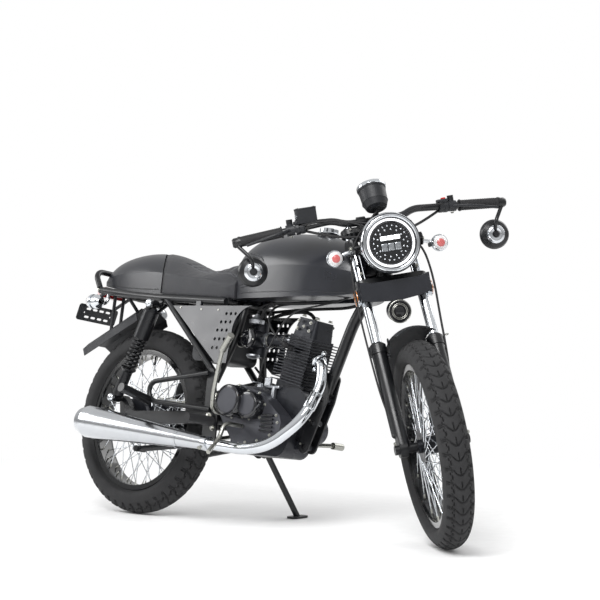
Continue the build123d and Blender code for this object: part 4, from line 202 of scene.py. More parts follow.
# Finishes by short name. Each row is a material's name, its two shades, its range of roughness,
# and the size and depth of its grain in millimetres.
MAKERS = {
    # Tyre rubber: dull black with a grey bloom that dust and sun leave on it.
    "rubber": lambda: plain(
        "tyre rubber, vulcanised", ("#1c1c1e", "#2b2b2c"), (0.72, 0.9), 1.2, 0.25, patch=35,
        octaves=(8.0, 4.0),
    ),
    # Chrome plate: mirror gloss with only a breath of polishing swirl.
    "chrome": lambda: plain(
        "chrome plate, polished", ("#dfe2e5", "#cfd3d8"), (0.05, 0.12), 5, 0.02, patch=60, metal=1.0,
        octaves=(4.0, 6.0),
    ),
    "leatherette": leatherette,
    # Silvered glass: a clean bright mirror with the faint ripple of float glass.
    "mirror": lambda: plain("silvered glass", ("#e8ebee", "#dde1e5"), (0.02, 0.04), 25, 0.02, metal=1.0),
    # Satin lacquer over steel: nearly black, soft broad highlights, a very faint orange peel.
    "lacquer": lambda: plain(
        "satin lacquer, sprayed", ("#16181e", "#1d1f26"), (0.27, 0.36), 1.6, 0.03,
        Coat_Weight=0.3, Coat_Roughness=0.22,
    ),
    # Powder coat on tube: deep black with an even small-scale peel.
    "powder": lambda: plain("powder coat, baked", ("#0e0f11", "#17181b"), (0.26, 0.4), 1.1, 0.06),
    # Gloss enamel on the wheel rims: black and wet-looking, so it carries hard reflections.
    "enamel": lambda: plain(
        "gloss enamel, baked", ("#08090a", "#0e0f11"), (0.12, 0.2), 2.0, 0.02, Coat_Weight=0.5
    ),
    # ABS mudguards and housings: dark grey moulded plastic with a fine spark-eroded texture.
    "plastic": lambda: plain("ABS, moulded and textured", ("#131519", "#1c1e23"), (0.42, 0.56), 0.9, 0.12),
    # Cast aluminium cases under black paint: sandy grain that catches a metallic light.
    "casting": lambda: plain(
        "cast aluminium, painted", ("#17181c", "#2c2e34"), (0.26, 0.46), 1.4, 0.22, patch=22, metal=0.5
    ),
    # Machined covers: painted, with the flat faces smoother than the casting round them.
    "cover": lambda: plain(
        "die-cast cover, painted", ("#3a3b40", "#48494f"), (0.3, 0.42), 1.3, 0.08, metal=0.45
    ),
    # Bare casting: pale silver, dull, with pits of the sand mould.
    "alloy": lambda: plain("cast aluminium, bare", ("#a9acb1", "#c3c6ca"), (0.3, 0.5), 1.2, 0.25, metal=1.0),
    # Zinc-plated bolts and links: light grey with a yellowish cast where the plate is thin.
    "zinc": lambda: plain(
        "zinc plate, passivated", ("#9a9a96", "#bcbcb4"), (0.25, 0.45), 2.5, 0.05, patch=8, metal=1.0
    ),
    # Muffler shell: stainless, brushed along its length and polished, so highlights run in long bands.
    "stainless": lambda: brushed(
        "stainless steel, polished", ("#d3d5d8", "#c2c5c9"), (0.12, 0.24), 1.2, 0.03, (0.05, 1, 1)
    ),
    # Brake disc: ground steel, with fine marks of the grinding and a blue-grey heat tint.
    "disc": lambda: brushed(
        "disc steel, ground", ("#7c7f84", "#94979c"), (0.25, 0.4), 0.9, 0.05, (1, 0.3, 1)
    ),
    # Hoses and cable sheaths: extruded EPDM, matt with a slight bloom.
    "hose": lambda: plain("EPDM rubber, extruded", ("#131315", "#1d1d1f"), (0.55, 0.7), 2.0, 0.1),
    # Grips: softer moulded rubber, a shade greyer from handling.
    "grip": lambda: plain("grip rubber, moulded", ("#19191b", "#232325"), (0.6, 0.78), 1.1, 0.3),
    # Springs: a little glossier than powder coat.
    "spring": lambda: plain(
        "spring steel, coated", ("#121316", "#1c1d20"), (0.24, 0.36), 1.5, 0.04, metal=0.3
    ),
    # Switch slider and gauge hand: glossy red ABS, the one bright colour on the bar.
    "red": lambda: plain("ABS, red", ("#c51f17", "#d92a20"), (0.25, 0.35), 2.0, 0.02),
    # Side reflectors: amber acrylic over a prism bed, which sparkles in small facets.
    "amber": lambda: plain(
        "acrylic, amber", ("#e07b10", "#f0941c"), (0.08, 0.16), 3.0, 0.25, patch=5, Coat_Weight=1.0
    ),
    # Tail lens: deep red acrylic with a wet gloss.
    "tail_red": lambda: plain(
        "acrylic, red", ("#7d0f10", "#93161a"), (0.08, 0.15), 4.0, 0.2, patch=6, Coat_Weight=1.0
    ),
    # Reflector bowls: vacuum-metallised plastic, bright and slightly rippled.
    "bowl": lambda: plain(
        "plastic, metallised", ("#b8bcc2", "#d9dde1"), (0.1, 0.25), 6, 0.6, patch=10, metal=1.0
    ),
    # Stitching thread: bonded nylon, pale grey so that the seams read.
    "thread": lambda: plain("bonded nylon thread", ("#6f7278", "#8b8e94"), (0.6, 0.75), 0.8, 0.1),
    # Headlamp's deep face: gloss black moulding behind the outer glass.
    "smoke": lambda: plain(
        "gloss moulding, black", ("#0b0c0e", "#15161a"), (0.08, 0.16), 7, 0.3, patch=9, Coat_Weight=1.0
    ),
    # Bulb behind a clear lens: a dusty pink where the dye is thin.
    "blush": lambda: plain("acrylic, dyed", ("#b4565a", "#c56a66"), (0.15, 0.25), 4.0, 0.1, patch=6),
    # Dial card: anodised sheet, matt and almost black.
    "dial": lambda: plain("dial card, matt", ("#0d0e10", "#121317"), (0.5, 0.6), 1.0, 0.01),
    # Dial marks: screen print, flat white.
    "mark": lambda: plain("dial ink, white", ("#e9ebec", "#f4f5f5"), (0.5, 0.6), 1.0, 0.01),
    # Cover walls: gloss paint over turned aluminium, so the round sides carry a bright band.
    "gloss": lambda: plain(
        "gloss paint on turned aluminium", ("#131417", "#1d1e22"), (0.1, 0.2), 5, 0.03, metal=0.25,
        Coat_Weight=0.8,
    ),
    # Signal lens: polycarbonate over a frosted prism bed, milky white in daylight.
    "milk": lambda: plain(
        "polycarbonate, frosted", ("#e4e2e3", "#f1efef"), (0.08, 0.14), 3.5, 0.35, patch=9,
        Transmission_Weight=0.25, Coat_Weight=1.0,
    ),
    "halo": lambda: glowing("light guide, lit", "#f4f8ff", 1.3),
    "chip": lambda: glowing("lamp chips, lit", "#f8fbff", 1.6),
}
MADE = {}


def finish(name):
    """Material of that name, made once."""
    if name not in MADE:
        MADE[name] = MAKERS[name]()
    return MADE[name]


def lathe(foot, head, profile, count=48, capped=True):
    """Shape turned about the line from foot to head; its profile is (distance along, radius)."""
    axis = (Vector(head) - Vector(foot)).normalized()
    side = axis.orthogonal().normalized()
    other = axis.cross(side)
    rings = []
    for along, radius in profile:
        turns = [2 * math.pi * step / count for step in range(count)]
        rays = [side * math.cos(turn) + other * math.sin(turn) for turn in turns]
        rings.append([Vector(foot) + axis * along + ray * radius for ray in rays])
    return lofted(rings, capped)


def joined(shapes):
    """One shape from several."""
    verts, faces = [], []
    for more, sides in shapes:
        base = len(verts)
        verts.extend(more)
        faces.extend(tuple(index + base for index in side) for side in sides)
    return verts, faces


def lofted(rings, capped=True):
    """Skin through closed rings of points, each ring as long as the next."""
    count = len(rings[0])
    verts = [Vector(point) for ring in rings for point in ring]
    faces = []
    for ring in range(len(rings) - 1):
        low, high = ring * count, (ring + 1) * count
        for step in range(count):
            after = (step + 1) % count
            faces.append((low + step, low + after, high + after, high + step))
    if capped:
        faces.append(tuple(reversed(range(count))))
        faces.append(tuple(range((len(rings) - 1) * count, len(rings) * count)))
    return verts, faces


def slab(origin, ahead, up, outline, thickness):
    """Flat plate: an outline in the plane of two directions, raised by its thickness."""
    origin, ahead, up = Vector(origin), Vector(ahead).normalized(), Vector(up).normalized()
    rise = ahead.cross(up) * thickness
    low = [origin + ahead * x + up * y for x, y in outline]
    return lofted([low, [point + rise for point in low]])


WASHER_THICKNESS = 1.2
WASHER_SHARE = 1.35
CROWN_SHARE = 0.8


def bolt(place, along, radius=6, height=5):
    """Hexagon bolt head on a washer, with a chamfered crown."""
    place, along = Vector(place), Vector(along).normalized()
    flange = radius * WASHER_SHARE
    washer = [(0, flange), (WASHER_THICKNESS, flange), (WASHER_THICKNESS, radius)]
    head = [(1, radius), (height, radius), (height + 1, radius * CROWN_SHARE)]
    return joined([lathe(place, place + along, washer, 16), lathe(place, place + along, head, 6)])


def box(low, high):
    """Block between two corners."""
    (x0, y0, z0), (x1, y1, z1) = low, high
    return lofted([[(x0, y0, z), (x1, y0, z), (x1, y1, z), (x0, y1, z)] for z in (z0, z1)])


def around(centre, axis, radius, count, make, phase=0.0):
    """One shape from copies set at equal steps round an axis."""
    axis = Vector(axis).normalized()
    side = axis.orthogonal().normalized()
    spin = [Matrix.Rotation(phase + 2 * math.pi * step / count, 3, axis) @ side for step in range(count)]
    return joined([make(Vector(centre) + ray * radius, ray) for ray in spin])


def torus(centre, axis, radius, tube, count=64, sides=10):
    """Ring of round section."""
    axis = Vector(axis).normalized()
    side = axis.orthogonal().normalized()
    turns = [2 * math.pi * share / sides for share in range(sides)]
    rings = []
    for step in range(count):
        ray = Matrix.Rotation(2 * math.pi * step / count, 3, axis) @ side
        rings.append([
            Vector(centre) + ray * (radius + tube * math.cos(t)) + axis * (tube * math.sin(t)) for t in turns
        ])
    return lofted([*rings, rings[0]], capped=False)


def drilled_ring(centre, axis, inner, outer, row, hole, count, thick):
    """Flat ring with a row of round holes, as on a brake disc."""
    side = axis.orthogonal().normalized()
    other = axis.cross(side)
    verts, faces, known = [], [], {}

    def corner(spot, rise):
        key = (round(spot.x, 3), round(spot.y, 3), rise)
        if key not in known:
            known[key] = len(verts)
            verts.append(centre + side * spot.x + other * spot.y + axis * rise)
        return known[key]

    def polar(radius, turn):
        return Vector((radius * math.cos(turn), radius * math.sin(turn), 0))

    for sector in range(count):
        middle = 2 * math.pi * sector / count
        turns = [middle + math.pi / count * (share / 4 - 1) for share in range(9)]
        edge = [polar(outer, turn) for turn in turns]
        lip = [polar(inner, turn) for turn in reversed(turns)]
        cut = [polar(row, middle) + polar(hole, 2 * math.pi * step / 16) for step in range(16)]
        flat = edge + lip + cut
        for tri in tessellate_polygon([edge + lip, cut]):
            faces.append(tuple(corner(flat[index], thick) for index in tri))
            faces.append(tuple(corner(flat[index], 0) for index in reversed(tri)))
        for line in (edge, lip, cut + cut[:1]):
            for here, there in zip(line, line[1:]):
                faces.append((corner(here, 0), corner(there, 0), corner(there, thick), corner(here, thick)))
    return verts, faces


def mounted(made, body, material):
    """Puts an object into the scene with its finish and slot, riding on a body."""
    bpy.context.scene.collection.objects.link(made)
    made.data.materials.append(finish(material))
    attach(made, body)
    return made


def piece(name, shape, body, material, bevel=0, angle=35):
    """Object from a shape drawn upright in millimetres, riding on a body."""
    mesh = bpy.data.meshes.new(name)
    mesh.from_pydata([tuple(v) for v in shape[0]], [], shape[1])
    mesh.transform(HOMES[body])
    bm = bmesh.new()
    bm.from_mesh(mesh)
    bmesh.ops.recalc_face_normals(bm, faces=bm.faces)
    bm.to_mesh(mesh)
    bm.free()
    mesh.polygons.foreach_set("use_smooth", [True] * len(mesh.polygons))
    mesh.set_sharp_from_angle(angle=math.radians(angle))
    made = bpy.data.objects.new(name, mesh)
    if bevel:
        trim = made.modifiers.new("edge", "BEVEL")
        trim.width = bevel * MM
        trim.segments = 2
        trim.limit_method = "ANGLE"
    return mounted(made, body, material)


def wire(name, points, radius, body, material):
    """Round cable or bar along a smooth line through its guide points."""
    curve = bpy.data.curves.new(name, "CURVE")
    curve.dimensions = "3D"
    curve.bevel_depth = radius * MM
    curve.bevel_resolution = 5
    curve.resolution_u = 10
    curve.use_fill_caps = True
    line = curve.splines.new("NURBS")
    line.points.add(len(points) - 1)
    for spot, point in zip(line.points, points):
        spot.co = (*(HOMES[body] @ Vector(point)), 1)
    line.order_u = 3
    line.use_endpoint_u = True
    return mounted(bpy.data.objects.new(name, curve), body, material)


def leg(side, along, ahead=0.0, out=0.0):
    """Place on a fork leg, measured up the steering axis."""
    across = TO_LEFT * (side * (LEG_HALF + out))
    return AXIS_FOOT + AXIS_AHEAD * (LEG_AHEAD + ahead) + AXIS_UP * along + across


def skin_of(node):
    """Tree of the faces of a CAD node, for finding its surface."""
    mesh = frame["nodes"][node].data
    return BVHTree.FromPolygons([v.co for v in mesh.vertices], [p.vertices for p in mesh.polygons])


def laid(tree, body, place, towards, proud=0.0):
    """Place where a ray from an upright place first meets a surface, or None."""
    home = HOMES[body]
    start_at = home @ Vector(place)
    ray = (home.to_3x3() @ Vector(towards)).normalized()
    hit = tree.ray_cast(start_at, ray)[0]
    return None if hit is None else home.inverted() @ (hit - ray * (proud * MM))


class WheelSettings(PropertyGroup):
    tread_depth: FloatProperty(
        name="Tread depth",
        description="Depth of the grooves between tread blocks",
        default=0.0055, min=0.001, max=0.008, unit="LENGTH",
    )
    pitches: IntProperty(
        name="Pitches", description="Repeats of the tread pattern round a tyre", default=46, min=20, max=80
    )


class SeatSettings(PropertyGroup):
    channel_pitch: FloatProperty(
        name="Channel pitch",
        description="Distance between the sewn channels",
        default=0.036, min=0.015, max=0.05, unit="LENGTH",
    )
    channel_depth: FloatProperty(
        name="Channel depth",
        description="How far the sewing pulls a channel in",
        default=0.0045, min=0.001, max=0.01, unit="LENGTH",
    )


class StageSettings(PropertyGroup):
    floor_colour: FloatVectorProperty(
        name="Floor", description="Colour of the floor",
        subtype="COLOR", size=3, min=0, max=1, default=linear("#f6f6f6"),
    )
    sky_strength: FloatProperty(
        name="Sky", description="Strength of the even light round the machine", default=0.75, min=0, max=2
    )


# Tread: shares of a pitch along the tyre, and of the crown's half width across it
SWEEP_SHARE = 0.55
SWEEP_END_SHARE = 0.62
SWEEP_POWER = 1.3
TREAD_EDGE_SHARE = 0.95
CROWN_EDGE_SHARE = 0.07
GROOVE_SHARES = {"sweep": 0.085, "rib": 0.035, "shoulder": 0.07}
GROOVE_WALL_SHARE = 0.45
SPUR_SHIFT_SHARE = 0.75
SPUR_HALF_SHARE = 0.28
RIB_SHARE = 0.62
RIB_STEP_SHARE = 0.05
SHOULDER_SLANT_SHARE = 0.18
TREAD_LOW_SHARE = 0.12
TREAD_WIDTH_SHARE = 1.08

# Tyres: crown radius of the section, and half the rim's width; bead radii are from the axle
TYRES = (
    ("front", FRONT_AXLE, FRONT_RADIUS, 45, 31),
    ("rear", REAR_AXLE, REAR_RADIUS, 53, 37),
)
BEAD_RADIUS = 228
BEAD_HEEL_RADIUS = 241
BEAD_LIP_RADIUS = 247
BEAD_INSET = 6
HEEL_INSET = 5
LIP_FLARE = 2
WALL_INSET = 2.5
WALL_DROP = 12
CROWN_STEPS = 60
STEPS_A_PITCH = 16


def on_wheel(centre, turn, radius, across):
    """Place on a wheel: an angle from straight ahead, a radius and a distance across."""
    return centre + Vector((radius * math.cos(turn), across, radius * math.sin(turn)))


def groove(distance, half):
    """Depth share of a groove, from 1 on its floor to 0 at its lip."""
    share = 1 - max(0.0, abs(distance) - half * (1 - GROOVE_WALL_SHARE)) / (half * GROOVE_WALL_SHARE)
    return min(1.0, max(0.0, share))


def centred(share):
    """Distance from the nearest whole pitch, from -0.5 to 0.5."""
    return (share + 0.5) % 1 - 0.5


def tread(turn_share, across, pitches):
    """Depth share of the tread pattern: swept grooves that meet in a U on the crown, and split shoulders."""
    pitch = turn_share * pitches
    side = abs(across)
    if side >= TREAD_EDGE_SHARE:
        return 0.0
    fade = math.cos(min(side, SWEEP_END_SHARE) / SWEEP_END_SHARE * math.pi / 2)
    deepest = groove(centred(pitch + SWEEP_SHARE * fade**SWEEP_POWER), GROOVE_SHARES["sweep"])
    if side < CROWN_EDGE_SHARE and abs((pitch + SPUR_SHIFT_SHARE) % 1 - 0.5) < SPUR_HALF_SHARE:
        deepest = max(deepest, groove(across, GROOVE_SHARES["rib"]))
    rib = RIB_SHARE + RIB_STEP_SHARE * (1 if centred(pitch * 2) > 0 else -1)
    deepest = max(deepest, groove(side - rib, GROOVE_SHARES["rib"]))
    if side > rib:
        split = centred(pitch + SHOULDER_SLANT_SHARE * side)
        deepest = max(deepest, groove(split, GROOVE_SHARES["shoulder"]))
    return deepest


def tyre_shape(centre, radius, crown, rim_half, depth, pitches):
    """Tyre with moulded tread, side walls and beads, drawn as one skin."""
    ring = radius - crown
    turns = [math.pi * (step / CROWN_STEPS) for step in range(CROWN_STEPS + 1)]
    profile = [(crown * math.cos(turn), crown * math.sin(turn), -math.cos(turn)) for turn in turns]
    left = [
        (rim_half - BEAD_INSET, BEAD_RADIUS - ring),
        (rim_half - HEEL_INSET, BEAD_HEEL_RADIUS - ring),
        (rim_half + LIP_FLARE, BEAD_LIP_RADIUS - ring),
        (crown - WALL_INSET, -WALL_DROP),
    ]
    right = [(-x, y) for x, y in reversed(left)]
    verts, faces = [], []
    count = pitches * STEPS_A_PITCH
    for index in range(count):
        share = index / count
        section = list(left)
        for x, y, across in profile:
            drop = 0.0
            if y > crown * TREAD_LOW_SHARE:
                drop = tread(share, across * TREAD_WIDTH_SHARE, pitches) * depth
            length = math.hypot(x, y)
            section.append((x * (length - drop) / length, y * (length - drop) / length))
        section += right
        verts += [on_wheel(centre, 2 * math.pi * share, ring + y, x) for x, y in section]
    rows = len(verts) // count
    for index in range(count):
        low, high = index * rows, (index + 1) % count * rows
        faces += [(low + row, low + row + 1, high + row + 1, high + row) for row in range(rows - 1)]
    return verts, faces


# Stage, in metres: softboxes are (name, place, size, watts, aim)
SOFTBOXES = (
    ("key softbox", (1.6, -2.6, 3.2), 1.8, 120, (0, 0, 0.5)),
    ("fill softbox", (-3.0, -2.2, 2.0), 1.6, 45, (0, 0, 0.5)),
    ("rim softbox", (0.5, 3.0, 2.6), 2.4, 40, (0, 0, 0.6)),
)
FLOOR_REACH = 14
FLOOR_FADE = (1.1, 2.6)
SKY_HEIGHTS = (-0.15, 0.55)
SKY_LOW_SHARE = 0.32
SENSOR = 36
FOCAL_LENGTH = 103.12
CAMERA_AZIMUTH = math.radians(43.02)
CAMERA_ELEVATION = math.radians(-0.1)
CAMERA_FROM_AXLE = Vector((4.409, -3.958, 0.404))
CLIP_END = 60


class MOTORCYCLE_OT_stage(Operator):
    """Adds the pale floor, the soft lights and the camera of the photograph"""

    bl_idname = "motorcycle.stage"
    bl_label = "Stage"

    def execute(self, context):
        context.scene.view_settings.view_transform = "Standard"
        settings = context.scene.motorcycle_stage
        self.sky(context.scene, settings)
        self.floor(context.scene, settings)
        for softbox in SOFTBOXES:
            self.softbox(context.scene, *softbox)
        self.camera(context.scene)
        return {"FINISHED"}

    def sky(self, scene, settings):
        """White studio: even light, weaker from below, and plain white to the camera."""
        world = bpy.data.worlds.new("studio")
        scene.world = world
        world.use_nodes = True
        tree = world.node_tree
        tree.nodes.clear()
        sight = add(tree, "TexCoord").outputs["Generated"]
        height = add(tree, "SeparateXYZ", {0: sight}).outputs["Z"]
        fade = {"Value": height, 1: SKY_HEIGHTS[0], 2: SKY_HEIGHTS[1], 3: SKY_LOW_SHARE, 4: 1.0}
        soft = add(tree, "MapRange", fade).outputs["Result"]
        power = add(tree, "Math", {0: soft, 1: settings.sky_strength}, operation="MULTIPLY").outputs[0]
        lit = add(tree, "Background", {"Color": WHITE, "Strength": power}).outputs[0]
        seen = add(tree, "Background", {"Color": WHITE, "Strength": 1.0}).outputs[0]
        rays = add(tree, "LightPath").outputs["Is Camera Ray"]
        both = add(tree, "MixShader", {0: rays, 1: lit, 2: seen}).outputs[0]
        add(tree, "OutputWorld", {"Surface": both})

    def floor(self, scene, settings):
        """Matt pale floor that fades into the white of the studio."""
        mesh = bpy.data.meshes.new("floor")
        corners = [(x * FLOOR_REACH, y * FLOOR_REACH, 0) for x, y in ((-1, -1), (1, -1), (1, 1), (-1, 1))]
        mesh.from_pydata(corners, [], [(0, 1, 2, 3)])
        floor = bpy.data.objects.new("floor", mesh)
        scene.collection.objects.link(floor)
        made, tree, place = start("studio floor, matt paint")
        grit = add(tree, "TexNoise", {"Vector": place, "Scale": per(40), "Detail": 3.0}).outputs["Fac"]
        pair = {6: (*settings.floor_colour, 1), 7: WHITE, 0: grit}
        tone = add(tree, "Mix", pair, data_type="RGBA").outputs[2]
        matt = add(tree, "BsdfDiffuse", {"Color": tone}).outputs[0]
        glow = add(tree, "Emission", {"Color": WHITE, "Strength": 1.0}).outputs[0]
        away = add(tree, "VectorMath", {0: place}, operation="LENGTH").outputs["Value"]
        fade = {"Value": away, 1: FLOOR_FADE[0], 2: FLOOR_FADE[1]}
        far = add(tree, "MapRange", fade, interpolation_type="SMOOTHSTEP").outputs["Result"]
        rays = add(tree, "LightPath").outputs["Is Camera Ray"]
        seen = add(tree, "Math", {0: far, 1: rays}, operation="MULTIPLY").outputs[0]
        both = add(tree, "MixShader", {0: seen, 1: matt, 2: glow}).outputs[0]
        add(tree, "OutputMaterial", {"Surface": both})
        mesh.materials.append(made)

    def softbox(self, scene, name, place, size, power, aim):
        """Square area light, aimed at the machine."""
        lamp = bpy.data.lights.new(name, "AREA")
        lamp.shape = "SQUARE"
        lamp.size = size
        lamp.energy = power
        holder = bpy.data.objects.new(name, lamp)
        holder.location = place
        holder.rotation_euler = (Vector(aim) - Vector(place)).to_track_quat("-Z", "Y").to_euler()
        scene.collection.objects.link(holder)

    def camera(self, scene):
        """Camera of the photograph, placed from the rear axle."""
        camera = bpy.data.cameras.new("camera")
        camera.sensor_width = SENSOR
        camera.lens = FOCAL_LENGTH
        camera.clip_end = CLIP_END
        view = bpy.data.objects.new("camera", camera)
        rise = -math.tan(CAMERA_ELEVATION)
        sight = Vector((-math.sin(CAMERA_AZIMUTH), math.cos(CAMERA_AZIMUTH), rise))
        view.location = Vector(JOINTS["rear_wheel"]["pos_m"]) + CAMERA_FROM_AXLE
        view.rotation_euler = sight.to_track_quat("-Z", "Y").to_euler()
        scene.collection.objects.link(view)
        scene.camera = view


NODE_FINISHES = {
    "lacquer": ["tank", "tail_cowl", "side_panels", "yoke_cover"],
    "powder": [
        "head_tube", "downtube", "centre_frame", "seat_rails", "grab_hoop", "swing_arm", "passenger_rests",
        "centre_stand", "side_stand", "fork_sliders", "yokes", "handlebar", "mirrors", "lamp_brackets",
        "mirror_collars",
    ],
    "enamel": ["front_rim", "rear_rim"],
    "plastic": [
        "front_mudguard", "rear_mudguard", "plate_bracket", "air_box", "hand_controls", "gauge",
        "headlamp_shell", "lever_perches", "levers",
    ],
    "casting": [
        "crankcase", "cylinder", "cylinder_head", "front_hub", "rear_hub", "rear_brake", "front_caliper",
        "intake",
    ],
    "cover": ["engine_covers"],
    "chrome": [
        "front_spokes", "rear_spokes", "fork_stanchions", "exhaust_header", "filler_cap", "front_signals",
        "rear_signals",
    ],
    "stainless": ["muffler"],
    "spring": ["shocks"],
    "zinc": ["drive_chain", "foot_controls"],
    "grip": ["grips", "rider_pegs"],
    "rubber": ["front_tyre", "rear_tyre"],
    "smoke": ["headlamp_face"],
    "tail_red": ["tail_lamp"],
    "leatherette": ["seat_pad"],
}


class MOTORCYCLE_OT_finishes(Operator):
    """Gives every piece that keeps its CAD shape the finish of the real one"""

    bl_idname = "motorcycle.finishes"
    bl_label = "Finishes"

    def execute(self, context):
        for name, nodes in NODE_FINISHES.items():
            for node in nodes:
                made = frame["nodes"][node]
                if not made.material_slots:
                    made.data.materials.append(finish(name))
                for spot in made.material_slots:
                    spot.material = finish(name)
        return {"FINISHED"}


class MOTORCYCLE_OT_tyres(Operator):
    """Moulds both tyres with their tread"""

    bl_idname = "motorcycle.tyres"
    bl_label = "Tyres"

    def execute(self, context):
        settings = context.scene.motorcycle_wheels
        depth = settings.tread_depth / MM
        for name, centre, radius, crown, rim_half in TYRES:
            shape = tyre_shape(centre, radius, crown, rim_half, depth, settings.pitches)
            made = piece(f"{name}_tyre_tread", shape, f"{name}_wheel", "rubber", angle=60)
            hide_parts(f"{name}_tyre")
        return {"FINISHED"}


# Seat: its channelled panel runs from the back to the front, in upright millimetres
SEAT_FRONT, SEAT_BACK = 428, 172
PANEL_BACK_HALF, PANEL_SPREAD = 50, 34
PANEL_LOW_Z = 760
PANEL_FLAT_SHARE = 0.35
CHANNEL_FADE = 14
CHANNEL_POWER = 2.2
HEM_HALF = 4
VOXEL = 5
PAD_START, PAD_CAP = 2, 3.5
PAD_PRESSURE = 4
PAD_FRAMES = 20
PAD_QUALITY = 4
STITCH_PITCH = 4
STITCH_RADII = (0.35, 0.8)
STITCH_PROUD = 0.1
ABOVE_SEAT = 980
LAST_STITCH = 3


def panel_half(x):
    """Half width of the channelled panel at a distance along the seat."""
    return PANEL_BACK_HALF + PANEL_SPREAD * min(1.0, max(0.0, (x - SEAT_BACK) / (SEAT_FRONT - SEAT_BACK)))


def gridded(made):
    """Gives a mesh even small faces, for the cloth solver."""
    bm = bmesh.new()
    bm.from_mesh(made.data)
    bmesh.ops.triangulate(bm, faces=bm.faces)
    bm.normal_update()
    bm.to_mesh(made.data)
    bm.free()
    grid = made.modifiers.new("grid", "REMESH")
    grid.mode = "VOXEL"
    grid.voxel_size = VOXEL * MM
    bpy.context.view_layer.objects.active = made
    with bpy.context.temp_override(object=made, active_object=made, selected_objects=[made]):
        bpy.ops.object.modifier_apply(modifier="grid")


def padded(made, normals):
    """Blows a mesh up with the cloth solver, each point no further than the cap."""
    rest = [v.co.copy() for v in made.data.vertices]
    for vertex, normal in zip(made.data.vertices, normals):
        vertex.co -= normal * (PAD_START * MM)
    cloth = made.modifiers.new("pad", "CLOTH")
    cloth.settings.quality = PAD_QUALITY
    cloth.settings.use_pressure = True
    cloth.settings.uniform_pressure_force = PAD_PRESSURE
    cloth.settings.effector_weights.gravity = 0
    cloth.collision_settings.use_collision = False
    scene = bpy.context.scene
    for step in range(1, PAD_FRAMES + 1):
        scene.frame_set(step)
    solved = made.evaluated_get(bpy.context.evaluated_depsgraph_get())
    swollen = [v.co.copy() for v in solved.data.vertices]
    made.modifiers.remove(cloth)
    scene.frame_set(1)
    for vertex, before, after in zip(made.data.vertices, rest, swollen):
        shift = after - before
        vertex.co = before + shift * min(1.0, PAD_CAP * MM / max(shift.length, 1e-9))


def sewn(at, normal, pitch, depth):
    """How far the sewing pulls the seat in at an upright place, in millimetres."""
    if normal.z <= PANEL_FLAT_SHARE or at.z <= PANEL_LOW_Z or at.x <= SEAT_BACK - pitch / 2:
        return 0.0
    inside = panel_half(at.x) - abs(at.y)
    drop = depth * max(0.0, 1 - abs(inside) / HEM_HALF)
    if inside > 0:
        off_crown = abs((at.x - SEAT_FRONT) / pitch % 1 - 0.5) * 2
        drop = max(drop, depth * off_crown**CHANNEL_POWER * min(1.0, inside / CHANNEL_FADE))
    return drop


def seat_skin(settings):
    """Padded seat: the solid's form, blown up by the cloth solver, then sewn into channels."""
    mesh = frame["nodes"]["seat_pad"].data.copy()
    made = bpy.data.objects.new("seat_pad_padded", mesh)
    bpy.context.scene.collection.objects.link(made)
    mesh.materials.clear()
    mesh.materials.append(finish("leatherette"))
    gridded(made)
    normals = [v.normal.copy() for v in made.data.vertices]
    padded(made, normals)
    to_drawing = HOMES["frame"].inverted()
    pitch, depth = settings.channel_pitch / MM, settings.channel_depth / MM
    for vertex, normal in zip(made.data.vertices, normals):
        vertex.co -= normal * sewn(to_drawing @ vertex.co, normal, pitch, depth) * MM
    made.data.polygons.foreach_set("use_smooth", [True] * len(made.data.polygons))
    fine = made.modifiers.new("smooth", "SUBSURF")
    fine.levels = fine.render_levels = 1
    return made


def stitch(start_at, end_at):
    """One sewn stitch: a short round bar."""
    length = (end_at - start_at).length
    thin, thick = STITCH_RADII
    profile = [(0, thin), (length * 0.25, thick), (length * 0.75, thick), (length, thin)]
    return lathe(start_at, end_at, profile, 6)


class MOTORCYCLE_OT_seat(Operator):
    """Pads and sews the seat, and draws its thread"""

    bl_idname = "motorcycle.seat"
    bl_label = "Seat"

    def execute(self, context):
        settings = context.scene.motorcycle_seat
        made = seat_skin(settings)
        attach(made, "frame")
        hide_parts("seat_pad")
        solved = made.evaluated_get(context.evaluated_depsgraph_get()).to_mesh()
        skin = BVHTree.FromPolygons([v.co for v in solved.vertices], [p.vertices for p in solved.polygons])
        pitch = settings.channel_pitch / MM
        lines = []
        for side in SIDES:
            lines.append([(x, side * panel_half(x)) for x in range(SEAT_BACK, SEAT_FRONT + 1, STITCH_PITCH)])
        for step in range(int((SEAT_FRONT - SEAT_BACK) / pitch) + 1):
            x = SEAT_FRONT - step * pitch
            half = int(panel_half(x)) - LAST_STITCH
            lines.append([(x, y) for y in range(-half, half + 1, STITCH_PITCH)])
        stitches = []
        for run in lines:
            for pair in zip(run[::2], run[1::2]):
                ends = [laid(skin, "frame", (x, y, ABOVE_SEAT), -UP, -STITCH_PROUD) for x, y in pair]
                if all(ends):
                    stitches.append(stitch(*ends))
        piece("seat_stitching", joined(stitches), "frame", "thread")
        return {"FINISHED"}


def turned(name, foot, along, profile, body, material, count=48, angle=35, capped=True):
    """Piece turned about the line that leaves its foot in a direction."""
    shape = lathe(foot, Vector(foot) + along, profile, count, capped)
    return piece(name, shape, body, material, angle=angle)


def bolt_circle(centre, along, radius, count, size, phase=0.0):
    """Bolts at equal steps round a circle, all facing along its axis."""
    return around(centre, along, radius, count, lambda place, ray: bolt(place, along, *size), phase)


# Headlamp: profiles here and below are (distance along, radius)
LAMP_BACK = Vector((1136, 0, 907))
LAMP_FACE = LAMP_BACK + AHEAD * 17.2
LAMP_RIM = [
    (0, 89.5), (6, 92), (16, 92), (24, 89.5), (29, 85), (30, 81), (28, 77.5), (20, 76.5), (17, 76.5),
    (17, 88), (0, 88),
]
